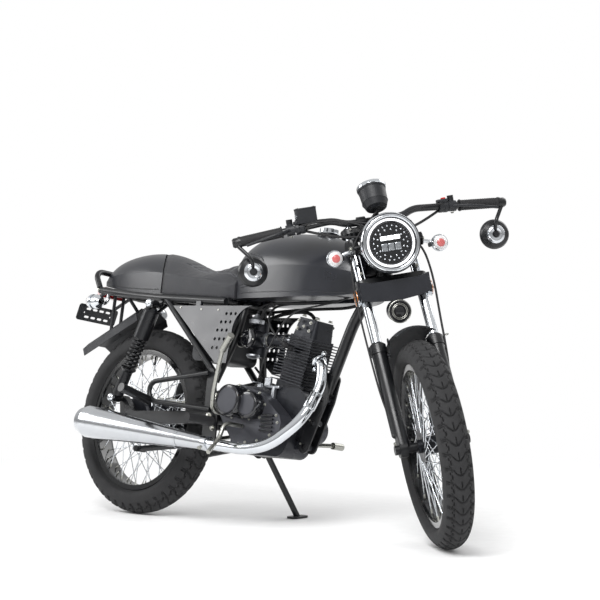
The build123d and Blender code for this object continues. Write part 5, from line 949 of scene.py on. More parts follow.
# Rings of the face: distance ahead of it, radius, tube's radius and sides
LAMP_RINGS = (
    ("halo", 3, 70, 3.4, 12, "halo"),
    ("gap", 5, 76, 2.2, 10, "smoke"),
    ("step", 1.5, 63.5, 2.2, 10, "smoke"),
)
LAMP_ROW = (-21, 0, 21)
LAMP_HALF = 9
# Blocks of the face: depth, lowest and highest height
CHIP_SPAN = (5, 916, 929)
BLOCK_SPAN = (4, 884, 906)
LAMP_DOT = [(0, 2.6), (1.4, 2.6), (2.3, 1.7), (2.6, 0.5)]
# Circles of dots: radius, count and first angle
DOT_CIRCLES = ((52, 22, 0.0), (41, 14, 0.2))
LAMP_RIB = [(0, 0.8), (8, 0.8)]
RIB_CIRCLE = (58, 44)
LAMP_SCREW = (3.5, 3)
SCREW_CIRCLE = (88, 3)


class MOTORCYCLE_OT_headlamp(Operator):
    """Adds the headlamp's chrome ring, halo, lamp blocks and face pattern"""

    bl_idname = "motorcycle.headlamp"
    bl_label = "Headlamp"

    def execute(self, context):
        turned("headlamp_ring", LAMP_BACK, AHEAD, LAMP_RIM, "steering", "chrome", 96, 50, capped=False)
        for name, along, radius, tube, sides, material in LAMP_RINGS:
            ring = torus(LAMP_FACE + AHEAD * along, AHEAD, radius, tube, 96, sides)
            piece(f"headlamp_{name}", ring, "steering", material)
        chips, blocks = [
            [
                box((LAMP_FACE.x, y - LAMP_HALF, low), (LAMP_FACE.x + deep, y + LAMP_HALF, high))
                for y in LAMP_ROW
            ]
            for deep, low, high in (CHIP_SPAN, BLOCK_SPAN)
        ]
        piece("headlamp_chips", joined(chips), "steering", "chip", bevel=1.2)
        piece("headlamp_blocks", joined(blocks), "steering", "bowl", bevel=1.5)

        def dot(place, ray):
            return lathe(place, place + AHEAD, LAMP_DOT, 12)

        dots = [around(LAMP_FACE, AHEAD, radius, count, dot, phase) for radius, count, phase in DOT_CIRCLES]
        piece("headlamp_dots", joined(dots), "steering", "bowl")

        def rib(place, ray):
            foot = place - ray * 4
            return lathe(foot, foot + ray, LAMP_RIB, 6)

        piece("headlamp_ribs", around(LAMP_FACE + AHEAD, AHEAD, *RIB_CIRCLE, rib), "steering", "cover")
        foot = LAMP_BACK - AHEAD * 4
        screws = around(foot, AHEAD, *SCREW_CIRCLE, lambda place, ray: bolt(place, ray, *LAMP_SCREW), 0.9)
        piece("headlamp_screws", screws, "steering", "zinc")
        return {"FINISHED"}


# Signals: body, place of the left one, and the way it faces
SIGNALS = (
    ("front", "steering", Vector((1080, 163, 885)), AHEAD),
    ("rear", "frame", Vector((-180, 150, 705)), -AHEAD),
)
SIGNAL_FACE = 6
SIGNAL_PARTS = (
    ("bezel", [(0, 25.2), (3, 26.2), (6, 26.2), (8, 25), (8, 22)], "chrome"),
    ("lens", [(7, 24), (12, 23.8), (19, 21), (24, 15.5), (26.5, 8), (27.2, 1)], "milk"),
    ("bulb", [(25, 12.5), (27.6, 9.5), (28.6, 4), (28.9, 0.5)], "blush"),
)
SIGNAL_COLLAR = [(0, 8.5), (6, 8.5), (7, 7), (9, 7), (9, 8), (12, 8)]
SIGNAL_NECK = (26, 6)
REFLECTOR = Vector((1084, 103, 757))
REFLECTOR_PARTS = (
    ("reflector_cup", [(0, 20), (9, 27), (12, 28), (13, 27)], "chrome"),
    ("reflector", [(12, 25.5), (15, 25), (16.5, 21), (17, 2)], "amber"),
)
# Blocks of the tail lamp: two corners, finish and edge radius
TAIL_PARTS = (
    ("tail_lens_rim", (-297, -44, 742), (-292, 44, 774), "plastic", 1.5),
    ("tail_lens", (-300, -40, 745), (-294, 40, 771), "tail_red", 3),
)


def beside(side, place):
    """Place on one side of the machine, from that on its left."""
    return Vector((place[0], side * place[1], place[2]))


class MOTORCYCLE_OT_lamps(Operator):
    """Adds lenses, bezels and bulbs to the signals, the side reflectors and the tail lamp"""

    bl_idname = "motorcycle.lamps"
    bl_label = "Lamps"

    def execute(self, context):
        for name, body, centre, way in SIGNALS:
            for side, word in SIDES.items():
                out = TO_LEFT * side
                foot = beside(side, centre) + way * SIGNAL_FACE
                for part, profile, material in SIGNAL_PARTS:
                    turned(f"{name}_signal_{part}_{word}", foot, way, profile, body, material, angle=50)
                inset, reach = SIGNAL_NECK
                neck = beside(side, centre) - out * inset
                collar = lathe(neck - out * reach, neck + out, SIGNAL_COLLAR, 24)
                piece(f"{name}_signal_collar_{word}", collar, body, "plastic")
        for side, word in SIDES.items():
            for part, profile, material in REFLECTOR_PARTS:
                foot = beside(side, REFLECTOR)
                turned(f"{part}_{word}", foot, TO_LEFT * side, profile, "steering", material, angle=40)
        for name, low, high, material, edge in TAIL_PARTS:
            piece(name, box(low, high), "frame", material, bevel=edge)
        return {"FINISHED"}


# Gauge: its middle, the way its dial faces and reads, and half its height
GAUGE_TILT = math.radians(28)
GAUGE = Vector((1014, 0, 1050))
GAUGE_UP = Vector((-math.sin(GAUGE_TILT), 0, math.cos(GAUGE_TILT)))
GAUGE_LEVEL = Vector((math.cos(GAUGE_TILT), 0, math.sin(GAUGE_TILT)))
GAUGE_HALF = 41
GAUGE_TOP = GAUGE + GAUGE_UP * GAUGE_HALF
GAUGE_FOOT = GAUGE - GAUGE_UP * GAUGE_HALF
GAUGE_BEZEL = [(-9, 44.2), (-8, 45.6), (0, 45.8), (2, 44.5), (2.5, 42), (1, 40.5), (0.2, 40)]
GAUGE_BANDS = ((26, 39.9), (67, 42.4))
DIAL = [(-1, 41), (0.4, 41)]
# Marks: the dial's first angle and sweep in degrees, its steps, and the outer radius
DIAL_START, DIAL_SWEEP, DIAL_STEPS, DIAL_RADIUS = 225, 270, 32, 38
# Inner radius and half width of a long and of a short mark
LONG_MARK, SHORT_MARK = (29, 0.9), (33, 0.5)
HAND = [(0, 0), (42, 0.7), (42, 1.3), (0, 2)]
HAND_HUB = [(0.4, 4), (3, 4), (3.6, 3)]

# Handlebar's arm: where it starts, then how far it goes back, out and down
BAR_START = Vector((953, 130, 1003))
BAR_RUN = Vector((-44, 285, -21))
GRIP_RIBS = range(292, 402, 6)
SWITCH_HALVES = ((214, 13), (228.5, 14))
SWITCH_BUTTONS = ((220, 4), (236, -4))
SWITCH_BUTTON = [(0, 4), (4, 4), (5, 3)]
BAR_END = [(-2, 17.5), (4, 17.5), (6, 15.5), (19, 15.5), (21, 14), (23, 12)]
LEVER_PIN = Vector((933.2, 258, 975))

# Mirrors
MIRROR = Vector((912, 390, 885))
MIRROR_CUP = [(8, 30.5), (12, 27.5), (14.5, 22), (15.2, 20.5), (13.6, 17), (12.8, 10), (13, 2)]
MIRROR_GLASS = [(12.4, 44), (13.6, 44)]
MIRROR_JOINT = [(0, 9), (6, 9), (8, 7)]

# Brake fluid reservoir
RESERVOIR = Vector((941.4, -205, 1050))
LID_HALF = (20, 32)
LID_HEIGHT = 6
WINDOW = [(0, 8), (2, 8), (3, 6.5)]


def dial_ray(turn):
    """Direction on the dial at an angle, in radians, from the rider's right."""
    return GAUGE_LEVEL * math.sin(turn) - TO_LEFT * math.cos(turn)


def bar_at(side, y):
    """Place on the handlebar's arm at a distance from the machine's middle."""
    return beside(side, BAR_START + BAR_RUN * ((y - BAR_START.y) / BAR_RUN.y))


class MOTORCYCLE_OT_controls(Operator):
    """Adds the gauge's bezel and dial, switches, mirrors, grip ribs and bar ends"""

    bl_idname = "motorcycle.controls"
    bl_label = "Controls"

    def execute(self, context):
        self.gauge()
        for side, word in SIDES.items():
            self.grip(side, word)
            self.switch(side, word)
            run = (bar_at(side, 400) - bar_at(side, 300)).normalized()
            turned(f"bar_end_{word}", bar_at(side, 415), run, BAR_END, "steering", "powder", 28, 40)
            piece(f"lever_pivot_{word}", bolt(beside(side, LEVER_PIN), -UP, 5, 4), "steering", "zinc")
            self.mirror(side, word)
        self.reservoir()
        return {"FINISHED"}

    def gauge(self):
        """Bezel, dial with marks and hand, and the bands of the gauge's body."""
        turned("gauge_bezel", GAUGE_TOP, GAUGE_UP, GAUGE_BEZEL, "steering", "chrome", 72, 50, capped=False)
        turned("gauge_dial", GAUGE_TOP, GAUGE_UP, DIAL, "steering", "dial")
        marks = []
        for step in range(DIAL_STEPS + 1):
            ray = dial_ray(math.radians(DIAL_START - step * DIAL_SWEEP / DIAL_STEPS))
            inner, wide = SHORT_MARK if step % 4 else LONG_MARK
            length = DIAL_RADIUS - inner
            outline = [(0, 0), (length, 0), (length, 2 * wide), (0, 2 * wide)]
            across = ray.cross(GAUGE_UP)
            foot = GAUGE_TOP + GAUGE_UP * 0.4 + ray * inner - across * wide
            marks.append(slab(foot, ray, across, outline, -0.5))
        piece("gauge_marks", joined(marks), "steering", "mark")
        ray = dial_ray(math.radians(DIAL_START))
        across = ray.cross(GAUGE_UP)
        hand = slab(GAUGE_TOP + GAUGE_UP * 1.4 - ray * 8 - across, ray, across, HAND, -0.8)
        hub = lathe(GAUGE_TOP, GAUGE_TOP + GAUGE_UP, HAND_HUB, 20)
        piece("gauge_hand", joined([hand, hub]), "steering", "red")
        bands = [
            torus(GAUGE_FOOT + GAUGE_UP * along, GAUGE_UP, radius, 0.9, 64, 8)
            for along, radius in GAUGE_BANDS
        ]
        piece("gauge_bands", joined(bands), "steering", "plastic")

    def grip(self, side, word):
        """Ribs of a grip, and the collar at its inner end."""
        run = (bar_at(side, 400) - bar_at(side, 300)).normalized()
        ribs = [torus(bar_at(side, y), run, 16.1, 0.7, 28, 6) for y in GRIP_RIBS]
        ribs.append(torus(bar_at(side, 285), run, 16.6, 2.4, 28, 8))
        piece(f"grip_ribs_{word}", joined(ribs), "steering", "grip")

    def switch(self, side, word):
        """Clamshell of the hand controls, with its slider and buttons."""
        halves = [
            lathe(
                bar_at(side, y), bar_at(side, y + 1),
                [(0, 17), (1.5, 19.2), (width - 1.5, 19.2), (width, 17)], 24,
            )
            for y, width in SWITCH_HALVES
        ]
        piece(f"switch_halves_{word}", joined(halves), "steering", "plastic", bevel=0.6)
        mid = bar_at(side, 229)
        near, far = sorted((side * 212, side * 246))
        top = box((mid.x - 14, near, mid.z + 12), (mid.x + 16, far, mid.z + 23))
        piece(f"switch_top_{word}", top, "steering", "plastic", bevel=3)
        y = side * 234
        slider = box((mid.x - 10, y - 6, mid.z + 23), (mid.x + 8, y + 6, mid.z + 27.5))
        colour = "red" if side == LEFT else "plastic"
        piece(f"switch_slider_{word}", slider, "steering", colour, bevel=1.4)
        buttons = []
        for y, rise in SWITCH_BUTTONS:
            foot = Vector((mid.x - 17, side * y, mid.z + rise))
            buttons.append(lathe(foot, foot - AHEAD, SWITCH_BUTTON, 14))
        piece(f"switch_buttons_{word}", joined(buttons), "steering", "plastic")

    def mirror(self, side, word):
        """Glass, rim, back cup and ball joint of a mirror."""
        face = beside(side, MIRROR)
        turned(f"mirror_glass_{word}", face, -AHEAD, MIRROR_GLASS, "steering", "mirror", 64)
        rim = torus(face - AHEAD * 12.5, -AHEAD, 45.6, 1.7, 64, 8)
        piece(f"mirror_rim_{word}", rim, "steering", "plastic")
        turned(f"mirror_cup_{word}", face, AHEAD, MIRROR_CUP, "steering", "chrome", angle=50)
        turned(f"mirror_joint_{word}", face + AHEAD * 13, AHEAD, MIRROR_JOINT, "steering", "powder", 20)

    def reservoir(self):
        """Lid, screws and sight glass of the brake fluid reservoir."""
        half = Vector((*LID_HALF, 0))
        lid = box(RESERVOIR - half, RESERVOIR + half + UP * LID_HEIGHT)
        piece("reservoir_lid", lid, "steering", "plastic", bevel=1.5)
        screws = [
            bolt(RESERVOIR + Vector((dx, dy, 5.4)), UP, 2.4, 1.2) for dx in (-14, 14) for dy in (-25, 25)
        ]
        piece("reservoir_screws", joined(screws), "steering", "zinc")
        foot = RESERVOIR + Vector((0, -31, -20))
        turned("reservoir_window", foot, TO_RIGHT, WINDOW, "steering", "bowl", 24)


# Engine: the cylinder stands on the crankcase, tilted ahead
CYLINDER_TILT = math.radians(11)
CYLINDER_FOOT = Vector((690, 0, 440))
CYLINDER_AHEAD = Vector((math.cos(CYLINDER_TILT), 0, -math.sin(CYLINDER_TILT)))
CYLINDER_UP = Vector((math.sin(CYLINDER_TILT), 0, math.cos(CYLINDER_TILT)))


def drum(tilted_ahead, across, rise):
    """Place on the cylinder, in its tilted frame."""
    return CYLINDER_FOOT + CYLINDER_AHEAD * tilted_ahead + CYLINDER_UP * rise + TO_LEFT * across


# Bolts by radius and height of the head
CASE_BOLT, HEAD_BOLT, ROCKER_BOLT, MOUNT_BOLT = (3.6, 3.5), (6, 6), (4, 4), (7, 6)
CASE_FACE, COVER_FOOT = 112, 113
# Round covers on the right: place along and up, radius, reach to the right, and bolts
ROUND_COVERS = ((539, 388, 50, 165, 7), (613, 378, 42, 150, 6))
CASE_BOLTS = ((692, 290), (720, 330), (712, 352), (560, 256), (590, 262), (640, 270), (478, 350))
HEAD_BOLTS = ((-30, -30), (30, -30), (-30, 30), (30, 30))
ROCKER_BOLTS = ((-26, 196), (0, 206), (26, 196), (-26, 222), (26, 222))
MOUNT_BOLTS = ((437, 402), (437, 300))
CAST_FEET = (
    ((596, -64, 446), (622, -52, 476)),
    ((604, -70, 440), (668, -56, 450)),
    ((640, -74, 404), (652, -58, 448)),
)
LOUVRES, FINS = 5, 7
# Outline of the paler strip laid along each fin's edge: a painted highlight, not a machined edge
FIN_HIGHLIGHT_STRIP = [(0, 0), (128, 0), (128, 1.4), (0, 1.4)]
CARBURETTOR_CAP = Vector((520, -80, 598))
CAP_SCREW = (2.6, 2)
CAP_STEPS = [(-2, 32), (2, 32.6), (6, 31), (8, 27), (8.6, 20), (8.6, 18)]
CAP_BOSS = [(0, 9), (3, 8), (3.4, 5)]
# Collars: foot, direction, profile and sides
CARBURETTOR_COLLARS = (
    ((548, -24, 598), AHEAD, [(0, 25), (2, 26.5), (12, 26.5), (14, 23)], 40),
    ((660, -24, 598), AHEAD, [(0, 24), (10, 24)], 40),
    ((520, -52, 648), UP, [(0, 23), (3, 25), (12, 25), (15, 20), (26, 9), (32, 6)], 32),
    ((520, -52, 548), -UP, [(0, 22.5), (5, 23), (10, 18), (14, 6)], 32),
)
CLAMPS = (566, 640, 430)
PLUG_SEAT = drum(-18, -60, 128)
PLUG_AWAY = Vector((-0.35, -0.85, 0.35)).normalized()
PLUG_CAP = [(0, 10), (8, 10), (8, 6), (18, 6), (20, 9), (34, 9), (38, 7)]
PLUG_HEAD = PLUG_SEAT + PLUG_AWAY * 36
# Hoses and cables: radius, then guide points
ENGINE_HOSES = (
    ("plug_lead", 3.6, [
        PLUG_HEAD, PLUG_HEAD + Vector((-14, -12, 12)),
        (610, -96, 650), (600, -70, 700), (640, -30, 718), (700, -26, 722),
    ]),
    ("fuel_hose", 4, [
        (560, -40, 724), (552, -52, 700), (545, -58, 672), (532, -44, 655), (528, -46, 640),
    ]),
    ("breather_hose", 6, [
        (700, 30, 672), (668, 46, 700), (600, 52, 706), (500, 46, 690), (420, 30, 650),
    ]),
    ("throttle_cable", 2.8, [
        (520, -52, 678), (524, -56, 702), (600, -70, 714), (760, -72, 712), (880, -52, 722),
        (950, -34, 762), (968, -20, 800),
    ]),
    ("clutch_cable", 2.8, [
        (600, -96, 452), (616, -110, 476), (640, -112, 560), (700, -96, 680), (800, -70, 706),
        (900, -44, 728), (962, -28, 790),
    ]),
    ("loom", 5, [
        (440, 60, 700), (560, 44, 708), (700, 40, 712), (860, 40, 716), (940, 30, 760), (962, 20, 800),
    ]),
    ("starter_lead", 4, [(424, 62, 520), (470, 66, 478), (540, 64, 458), (600, 62, 452)]),
)
CLUTCH_BOSS = [(0, 9), (12, 9), (14, 7)]
CLUTCH_ARM = [(0, 0), (26, 4), (26, 12), (0, 18)]


class MOTORCYCLE_OT_engine(Operator):
    """Adds bolts, cover walls, carburettor trim, plug, hoses and cables to the engine"""

    bl_idname = "motorcycle.engine"
    bl_label = "Engine"

    def execute(self, context):
        self.covers()
        self.castings()
        self.carburettor()
        turned("plug_cap", PLUG_SEAT, PLUG_AWAY, PLUG_CAP, "frame", "hose", 16, 40)
        for name, radius, points in ENGINE_HOSES:
            wire(name, points, radius, "frame", "hose")
        boss = lathe((600, -84, 440), (600, -84, 441), CLUTCH_BOSS, 20)
        arm = slab((590, -90, 452), TO_RIGHT, AHEAD, CLUTCH_ARM, 4)
        piece("clutch_arm", joined([boss, arm]), "frame", "alloy", bevel=0.6)
        return {"FINISHED"}

    def covers(self):
        """Walls and rims of the round covers, and all bolts of the engine."""
        walls, rims, bolts = [], [], []
        for x, z, radius, reach, count in ROUND_COVERS:
            foot, face = Vector((x, -COVER_FOOT, z)), Vector((x, -reach, z))
            deep = reach - COVER_FOOT
            wall = [
                (0, radius + 1.6), (3, radius + 0.6), (deep - 4, radius + 0.6), (deep, radius - 2),
                (deep + 0.6, radius - 3),
            ]
            walls.append(lathe(foot, foot + TO_RIGHT, wall, 72))
            rims.append(torus((x, -reach - 0.6, z), TO_RIGHT, radius - 8, 0.8, 72, 6))
            rims.append(lathe(face, face + TO_RIGHT, [(0, radius - 9), (1.2, radius - 10.5)], 72))
            seat = Vector((x, -CASE_FACE, z))
            bolts.append(bolt_circle(seat, TO_RIGHT, radius + 3.2, count, CASE_BOLT, 0.4))
        piece("cover_walls", joined(walls), "frame", "gloss", angle=50)
        piece("cover_rims", joined(rims), "frame", "cover")
        bolts.append(bolt_circle((645, COVER_FOOT, 356), TO_LEFT, 61, 8, CASE_BOLT, 0.2))
        bolts += [bolt((x, -CASE_FACE, z), TO_RIGHT, *CASE_BOLT) for x, z in CASE_BOLTS]
        bolts += [bolt(drum(along, across, 236), CYLINDER_UP, *HEAD_BOLT) for along, across in HEAD_BOLTS]
        for along, rise in ROCKER_BOLTS:
            bolts += [bolt(drum(along, side * 52, rise), TO_LEFT * side, *ROCKER_BOLT) for side in SIDES]
        for x, z in MOUNT_BOLTS:
            bolts += [bolt((x, side * 114, z), TO_LEFT * side, *MOUNT_BOLT) for side in SIDES]
        piece("engine_bolts", joined(bolts), "frame", "zinc")

    def castings(self):
        """Louvres of the right cover, lugs at the cylinder's foot, and paler strips on the fin edges as
        painted highlight.
        """
        louvres = [
            box((650 + step * 1.5, -120, 300 + step * 12), (702, -110, 306 + step * 12))
            for step in range(LOUVRES)
        ]
        piece("cover_louvres", joined(louvres), "frame", "gloss", bevel=1.2)
        piece("cast_feet", joined([box(low, high) for low, high in CAST_FEET]), "frame", "alloy", bevel=3)
        # Thin strips in the paler cover finish on the right-hand edge of each fin: painted highlight where
        # light catches the fins
        fin_highlights = [
            slab(drum(-64, -69.3, 24 + step * 9.5), CYLINDER_AHEAD, CYLINDER_UP, FIN_HIGHLIGHT_STRIP, 0.9)
            for step in range(FINS)
        ]
        piece("fin_edge_highlights", joined(fin_highlights), "frame", "cover")

    def carburettor(self):
        """Cap, collars and clamps of the carburettor."""
        cap, out = CARBURETTOR_CAP, TO_RIGHT
        trim = [lathe(cap, cap + out, CAP_STEPS, 48), lathe(cap + out * 8, cap + out * 9, CAP_BOSS, 24)]
        piece("carburettor_cap", joined(trim), "frame", "gloss", angle=40)
        screws = bolt_circle(cap + out * 6, out, 27, 4, CAP_SCREW, 0.6)
        piece("carburettor_screws", screws, "frame", "zinc")
        collars = [
            lathe(foot, Vector(foot) + way, profile, sides)
            for foot, way, profile, sides in CARBURETTOR_COLLARS
        ]
        piece("carburettor_collars", joined(collars), "frame", "alloy", angle=40)
        clamps = [torus((x, -24, 598), AHEAD, 22.4, 1.6, 40, 8) for x in CLAMPS]
        piece("intake_clamps", joined(clamps), "frame", "zinc")


# Exhaust: the pipe's corners from the muffler to the port, and the corner where the guard starts
PIPE = (
    (464, -160, 246), (641, -155, 237), (725, -140, 258), (814, -101, 344), (828, -50, 459),
    (814, -39, 521), (780, -28, 542),
)
GUARD_RUN = 3
GUARD_START_SHARE = 0.3
GUARD_SHARE = 0.45
GUARD_RADII = (19, 20.2)
PIPE_COLLAR = [(-1, 24), (5, 24), (7, 21), (9, 19.5)]
FLANGE_EAR = [(0, 9), (6, 9)]
SLOTS_A_ROW = 5
# Outline of a slot, drawn as a thin black patch on the guard: painted shade, not a hole
SLOT_SHADE_OUTLINE = [(0, -1.8), (10, -1.8), (11.5, 0), (10, 1.8), (0, 1.8), (-1.5, 0)]
MUFFLER_FRONT, MUFFLER_BACK = Vector(PIPE[0]), Vector((-123, -190, 290))
MUFFLER_BAND = [(0, 22.5), (1, 24.5), (20, 24.5), (21, 22.5)]
# Seams of the muffler: share of its length, and radius
MUFFLER_SEAMS = ((0.2, 33.5), (0.965, 46))


class MOTORCYCLE_OT_exhaust(Operator):
    """Adds the port flange, the guard with painted shade for its slots, the clamp and the end ring to the
    exhaust
    """

    bl_idname = "motorcycle.exhaust"
    bl_label = "Exhaust"

    def execute(self, context):
        self.flange()
        self.guard()
        along = (MUFFLER_BACK - MUFFLER_FRONT).normalized()
        band = lathe(MUFFLER_FRONT + along * -14, MUFFLER_FRONT, MUFFLER_BAND, 40)
        piece("muffler_clamp", band, "frame", "stainless", angle=40)
        screw = bolt(MUFFLER_FRONT + Vector((-4, -20, -16)), TO_RIGHT, 5, 8)
        piece("muffler_clamp_bolt", screw, "frame", "zinc")
        reach = (MUFFLER_BACK - MUFFLER_FRONT).length
        rings = [
            torus(MUFFLER_FRONT + along * (reach * share), along, radius, 0.9, 72, 8)
            for share, radius in MUFFLER_SEAMS
        ]
        piece("muffler_seams", joined(rings), "frame", "stainless")
        return {"FINISHED"}

    def flange(self):
        """Collar and two bolted ears at the exhaust port."""
        port, bend = Vector(PIPE[-1]), Vector(PIPE[-2])
        away = (bend - port).normalized()
        collar = lathe(port + away * 12, port + away * 13, PIPE_COLLAR, 40)
        piece("exhaust_collar", collar, "frame", "chrome", angle=40)
        up = away.cross(TO_LEFT).normalized()
        ears = []
        for sign in (-1, 1):
            stud = port + away * 14 + up * (30 * sign)
            ears.append(lathe(stud - away * 3, stud, FLANGE_EAR, 20))
            ears.append(bolt(stud + away * 3, away, 5, 5))
        piece("exhaust_flange", joined(ears), "frame", "chrome", bevel=0.5)

    def guard(self):
        """Heat guard round the pipe, with thin black patches for its slots: painted shade."""
        low, high = Vector(PIPE[GUARD_RUN]), Vector(PIPE[GUARD_RUN + 1])
        run = (high - low).normalized()
        length = (high - low).length
        foot = low + run * (length * GUARD_START_SHARE)
        thin, wide = GUARD_RADII
        end = length * GUARD_SHARE
        shell = lathe(foot, foot + run, [(0, thin), (2, wide), (end, wide), (end + 2, thin)], 48)
        piece("exhaust_guard", shell, "frame", "chrome", angle=40)
        outward = Vector((0.35, -1, 0.1))
        outward = (outward - run * outward.dot(run)).normalized()
        other = run.cross(outward)
        # Black patches in the rubber finish laid on the guard's face stand for its slots: painted shade
        slot_shades = []
        for row in (-1, 1):
            ray = (outward + other * (0.28 * row)).normalized()
            across = run.cross(ray).normalized()
            for step in range(SLOTS_A_ROW):
                spot = foot + run * (length * 0.06 + step * length * 0.075)
                slot_shades.append(slab(spot + ray * 20.5, run, across, SLOT_SHADE_OUTLINE, -0.6))
        piece("exhaust_slot_shade", joined(slot_shades), "frame", "hose")


# Fork: seal and cap by height on the leg and profile, then bolts by height, distance ahead and out
SEAL_HEIGHT, SEAL = 640, [(0, 24), (6, 24.4), (10, 22), (13, 18.5), (15, 16.2)]
CAP_HEIGHT, CAP = 1040, [(-1, 17.5), (3, 17.5), (5, 15), (5, 11)]
CAP_NUT = [(0, 9), (6, 9), (7, 8)]
SMALL_BOLT, AXLE_BOLT, LAMP_BOLT, GUARD_BOLT = (4, 4), (5, 5), (6, 5), (5, 4)
CALIPER_BOLTS = ((1225, 77, 395), (1205, 77, 345))
BRAKE_HOSE = (
    (948, -190, 1010), (985, -150, 1012), (1020, -70, 985), (1048, 20, 965), (1078, 108, 900),
    (1108, 124, 800), (1127, 122, 654), (1150, 119, 600), (1182, 112, 500), (1205, 92, 430),
)
SPEEDOMETER_CABLE = (
    (1033, 0, 1012), (1046, -30, 985), (1064, -92, 930), (1086, -120, 850), (1120, -122, 720),
    (1172, -120, 590), (1232, -114, 440), (1272, -92, 350), (1286, -62, 322),
)
# Lines on both sides: radius, then guide points on the left
SIDE_LINES = (
    ("switch_loom", 4.2, (
        (936, 214, 985), (962, 170, 966), (1000, 110, 946), (1034, 70, 940), (1052, 40, 930),
    )),
    ("lever_cable", 2.8, (
        (944, 246, 1000), (968, 200, 1008), (1010, 120, 1000), (1044, 60, 976), (1042, 12, 950),
        (1016, 8, 925),
    )),
)
HOSE_GUIDES = ((640, 22, 34), (800, 20, 34))
HORN = Vector((1129, 0, 700))
HORN_FACE = [(0, 35), (4, 35.6), (7, 33), (7.5, 29), (4, 27), (4, 17), (8, 14), (9, 8)]
# Rings of the horn: radius, tube's radius and steps
HORN_RINGS = ((20, 1.1, 48), (24, 1.1, 48), (33.5, 2, 64))


class MOTORCYCLE_OT_fork(Operator):
    """Adds seals, caps and bolts to the fork, its brake hose, cables and loom, and the horn"""

    bl_idname = "motorcycle.fork"
    bl_label = "Fork"

    def execute(self, context):
        self.legs()
        wire("brake_hose", BRAKE_HOSE, 3.4, "steering", "hose")
        wire("speedometer_cable", SPEEDOMETER_CABLE, 3.0, "steering", "hose")
        for side, word in SIDES.items():
            for name, radius, points in SIDE_LINES:
                route = [beside(side, point) for point in points]
                wire(f"{name}_{word}", route, radius, "steering", "hose")
        guides = [torus(leg(LEFT, *spot), AXIS_UP, 5, 1.5, 20, 8) for spot in HOSE_GUIDES]
        piece("hose_guides", joined(guides), "steering", "zinc")
        turned("horn_face", HORN, AHEAD, HORN_FACE, "steering", "gloss", angle=40)
        rings = [torus(HORN + AHEAD * 5, AHEAD, radius, tube, steps, 8) for radius, tube, steps in HORN_RINGS]
        piece("horn_rings", joined(rings), "steering", "zinc")
        return {"FINISHED"}

    def legs(self):
        """Seals, caps and bolts of both legs."""
        seals, caps, bolts = [], [], []
        for side in SIDES:
            out = TO_LEFT * side
            foot, top = leg(side, SEAL_HEIGHT), leg(side, CAP_HEIGHT)
            seals.append(lathe(foot, foot + AXIS_UP, SEAL, 40))
            caps.append(lathe(top, top + AXIS_UP, CAP, 32))
            caps.append(lathe(top + AXIS_UP * 4, top + AXIS_UP * 5, CAP_NUT, 6))
            bolts += [
                bolt(leg(side, 330, 14, 20), out, *AXLE_BOLT),
                bolt(leg(side, 880, 22), AXIS_AHEAD, *SMALL_BOLT),
                bolt(leg(side, 1030, 24), AXIS_AHEAD, *SMALL_BOLT),
                bolt((1096, side * 110.5, 907), out, *LAMP_BOLT),
                bolt(leg(side, 612, 0, -14), -out, *GUARD_BOLT),
            ]
        piece("fork_seals", joined(seals), "steering", "hose", angle=40)
        piece("fork_caps", joined(caps), "steering", "chrome", angle=40)
        bolts += [bolt(place, TO_LEFT, *GUARD_BOLT) for place in CALIPER_BOLTS]
        piece("fork_bolts", joined(bolts), "steering", "zinc")


def islands(mesh):
    """Vertex places of each separate solid in a mesh."""
    bm = bmesh.new()
    bm.from_mesh(mesh)
    seen, found = set(), []
    for first in bm.verts:
        if first.index in seen:
            continue
        group, queue = [], [first]
        seen.add(first.index)
        while queue:
            vert = queue.pop()
            group.append(vert.co.copy())
            for edge in vert.link_edges:
                other = edge.other_vert(vert)
                if other.index not in seen:
                    seen.add(other.index)
                    queue.append(other)
        found.append(group)
    bm.free()
    return found


# Wheels: a spoke reaches beyond this radius, and its end is this long
SPOKE_REACH = 200
SPOKE_END = 4
NIPPLE = [(0, 3.4), (3, 3.4), (5, 2.7), (15, 2.5), (16, 1.9)]
VALVE_RADIUS = 224
VALVE = [(-4, 4), (0, 4), (6, 2.8), (22, 2.8), (23, 3.8), (31, 3.8), (32, 3)]
WHEEL_BOLT = (5, 4)
# Brake disc: its faces' places across, and inner and outer radius, row of holes, hole, count, thickness
DISC_FACES = (52.1, 47.4)
DISC = (86, 126, 105, 5, 12, 0.5)
# Rings of the disc: place across, radius and tube's radius
DISC_RINGS = ((50, 127.6, 2.3), (52.1, 84, 0.9))


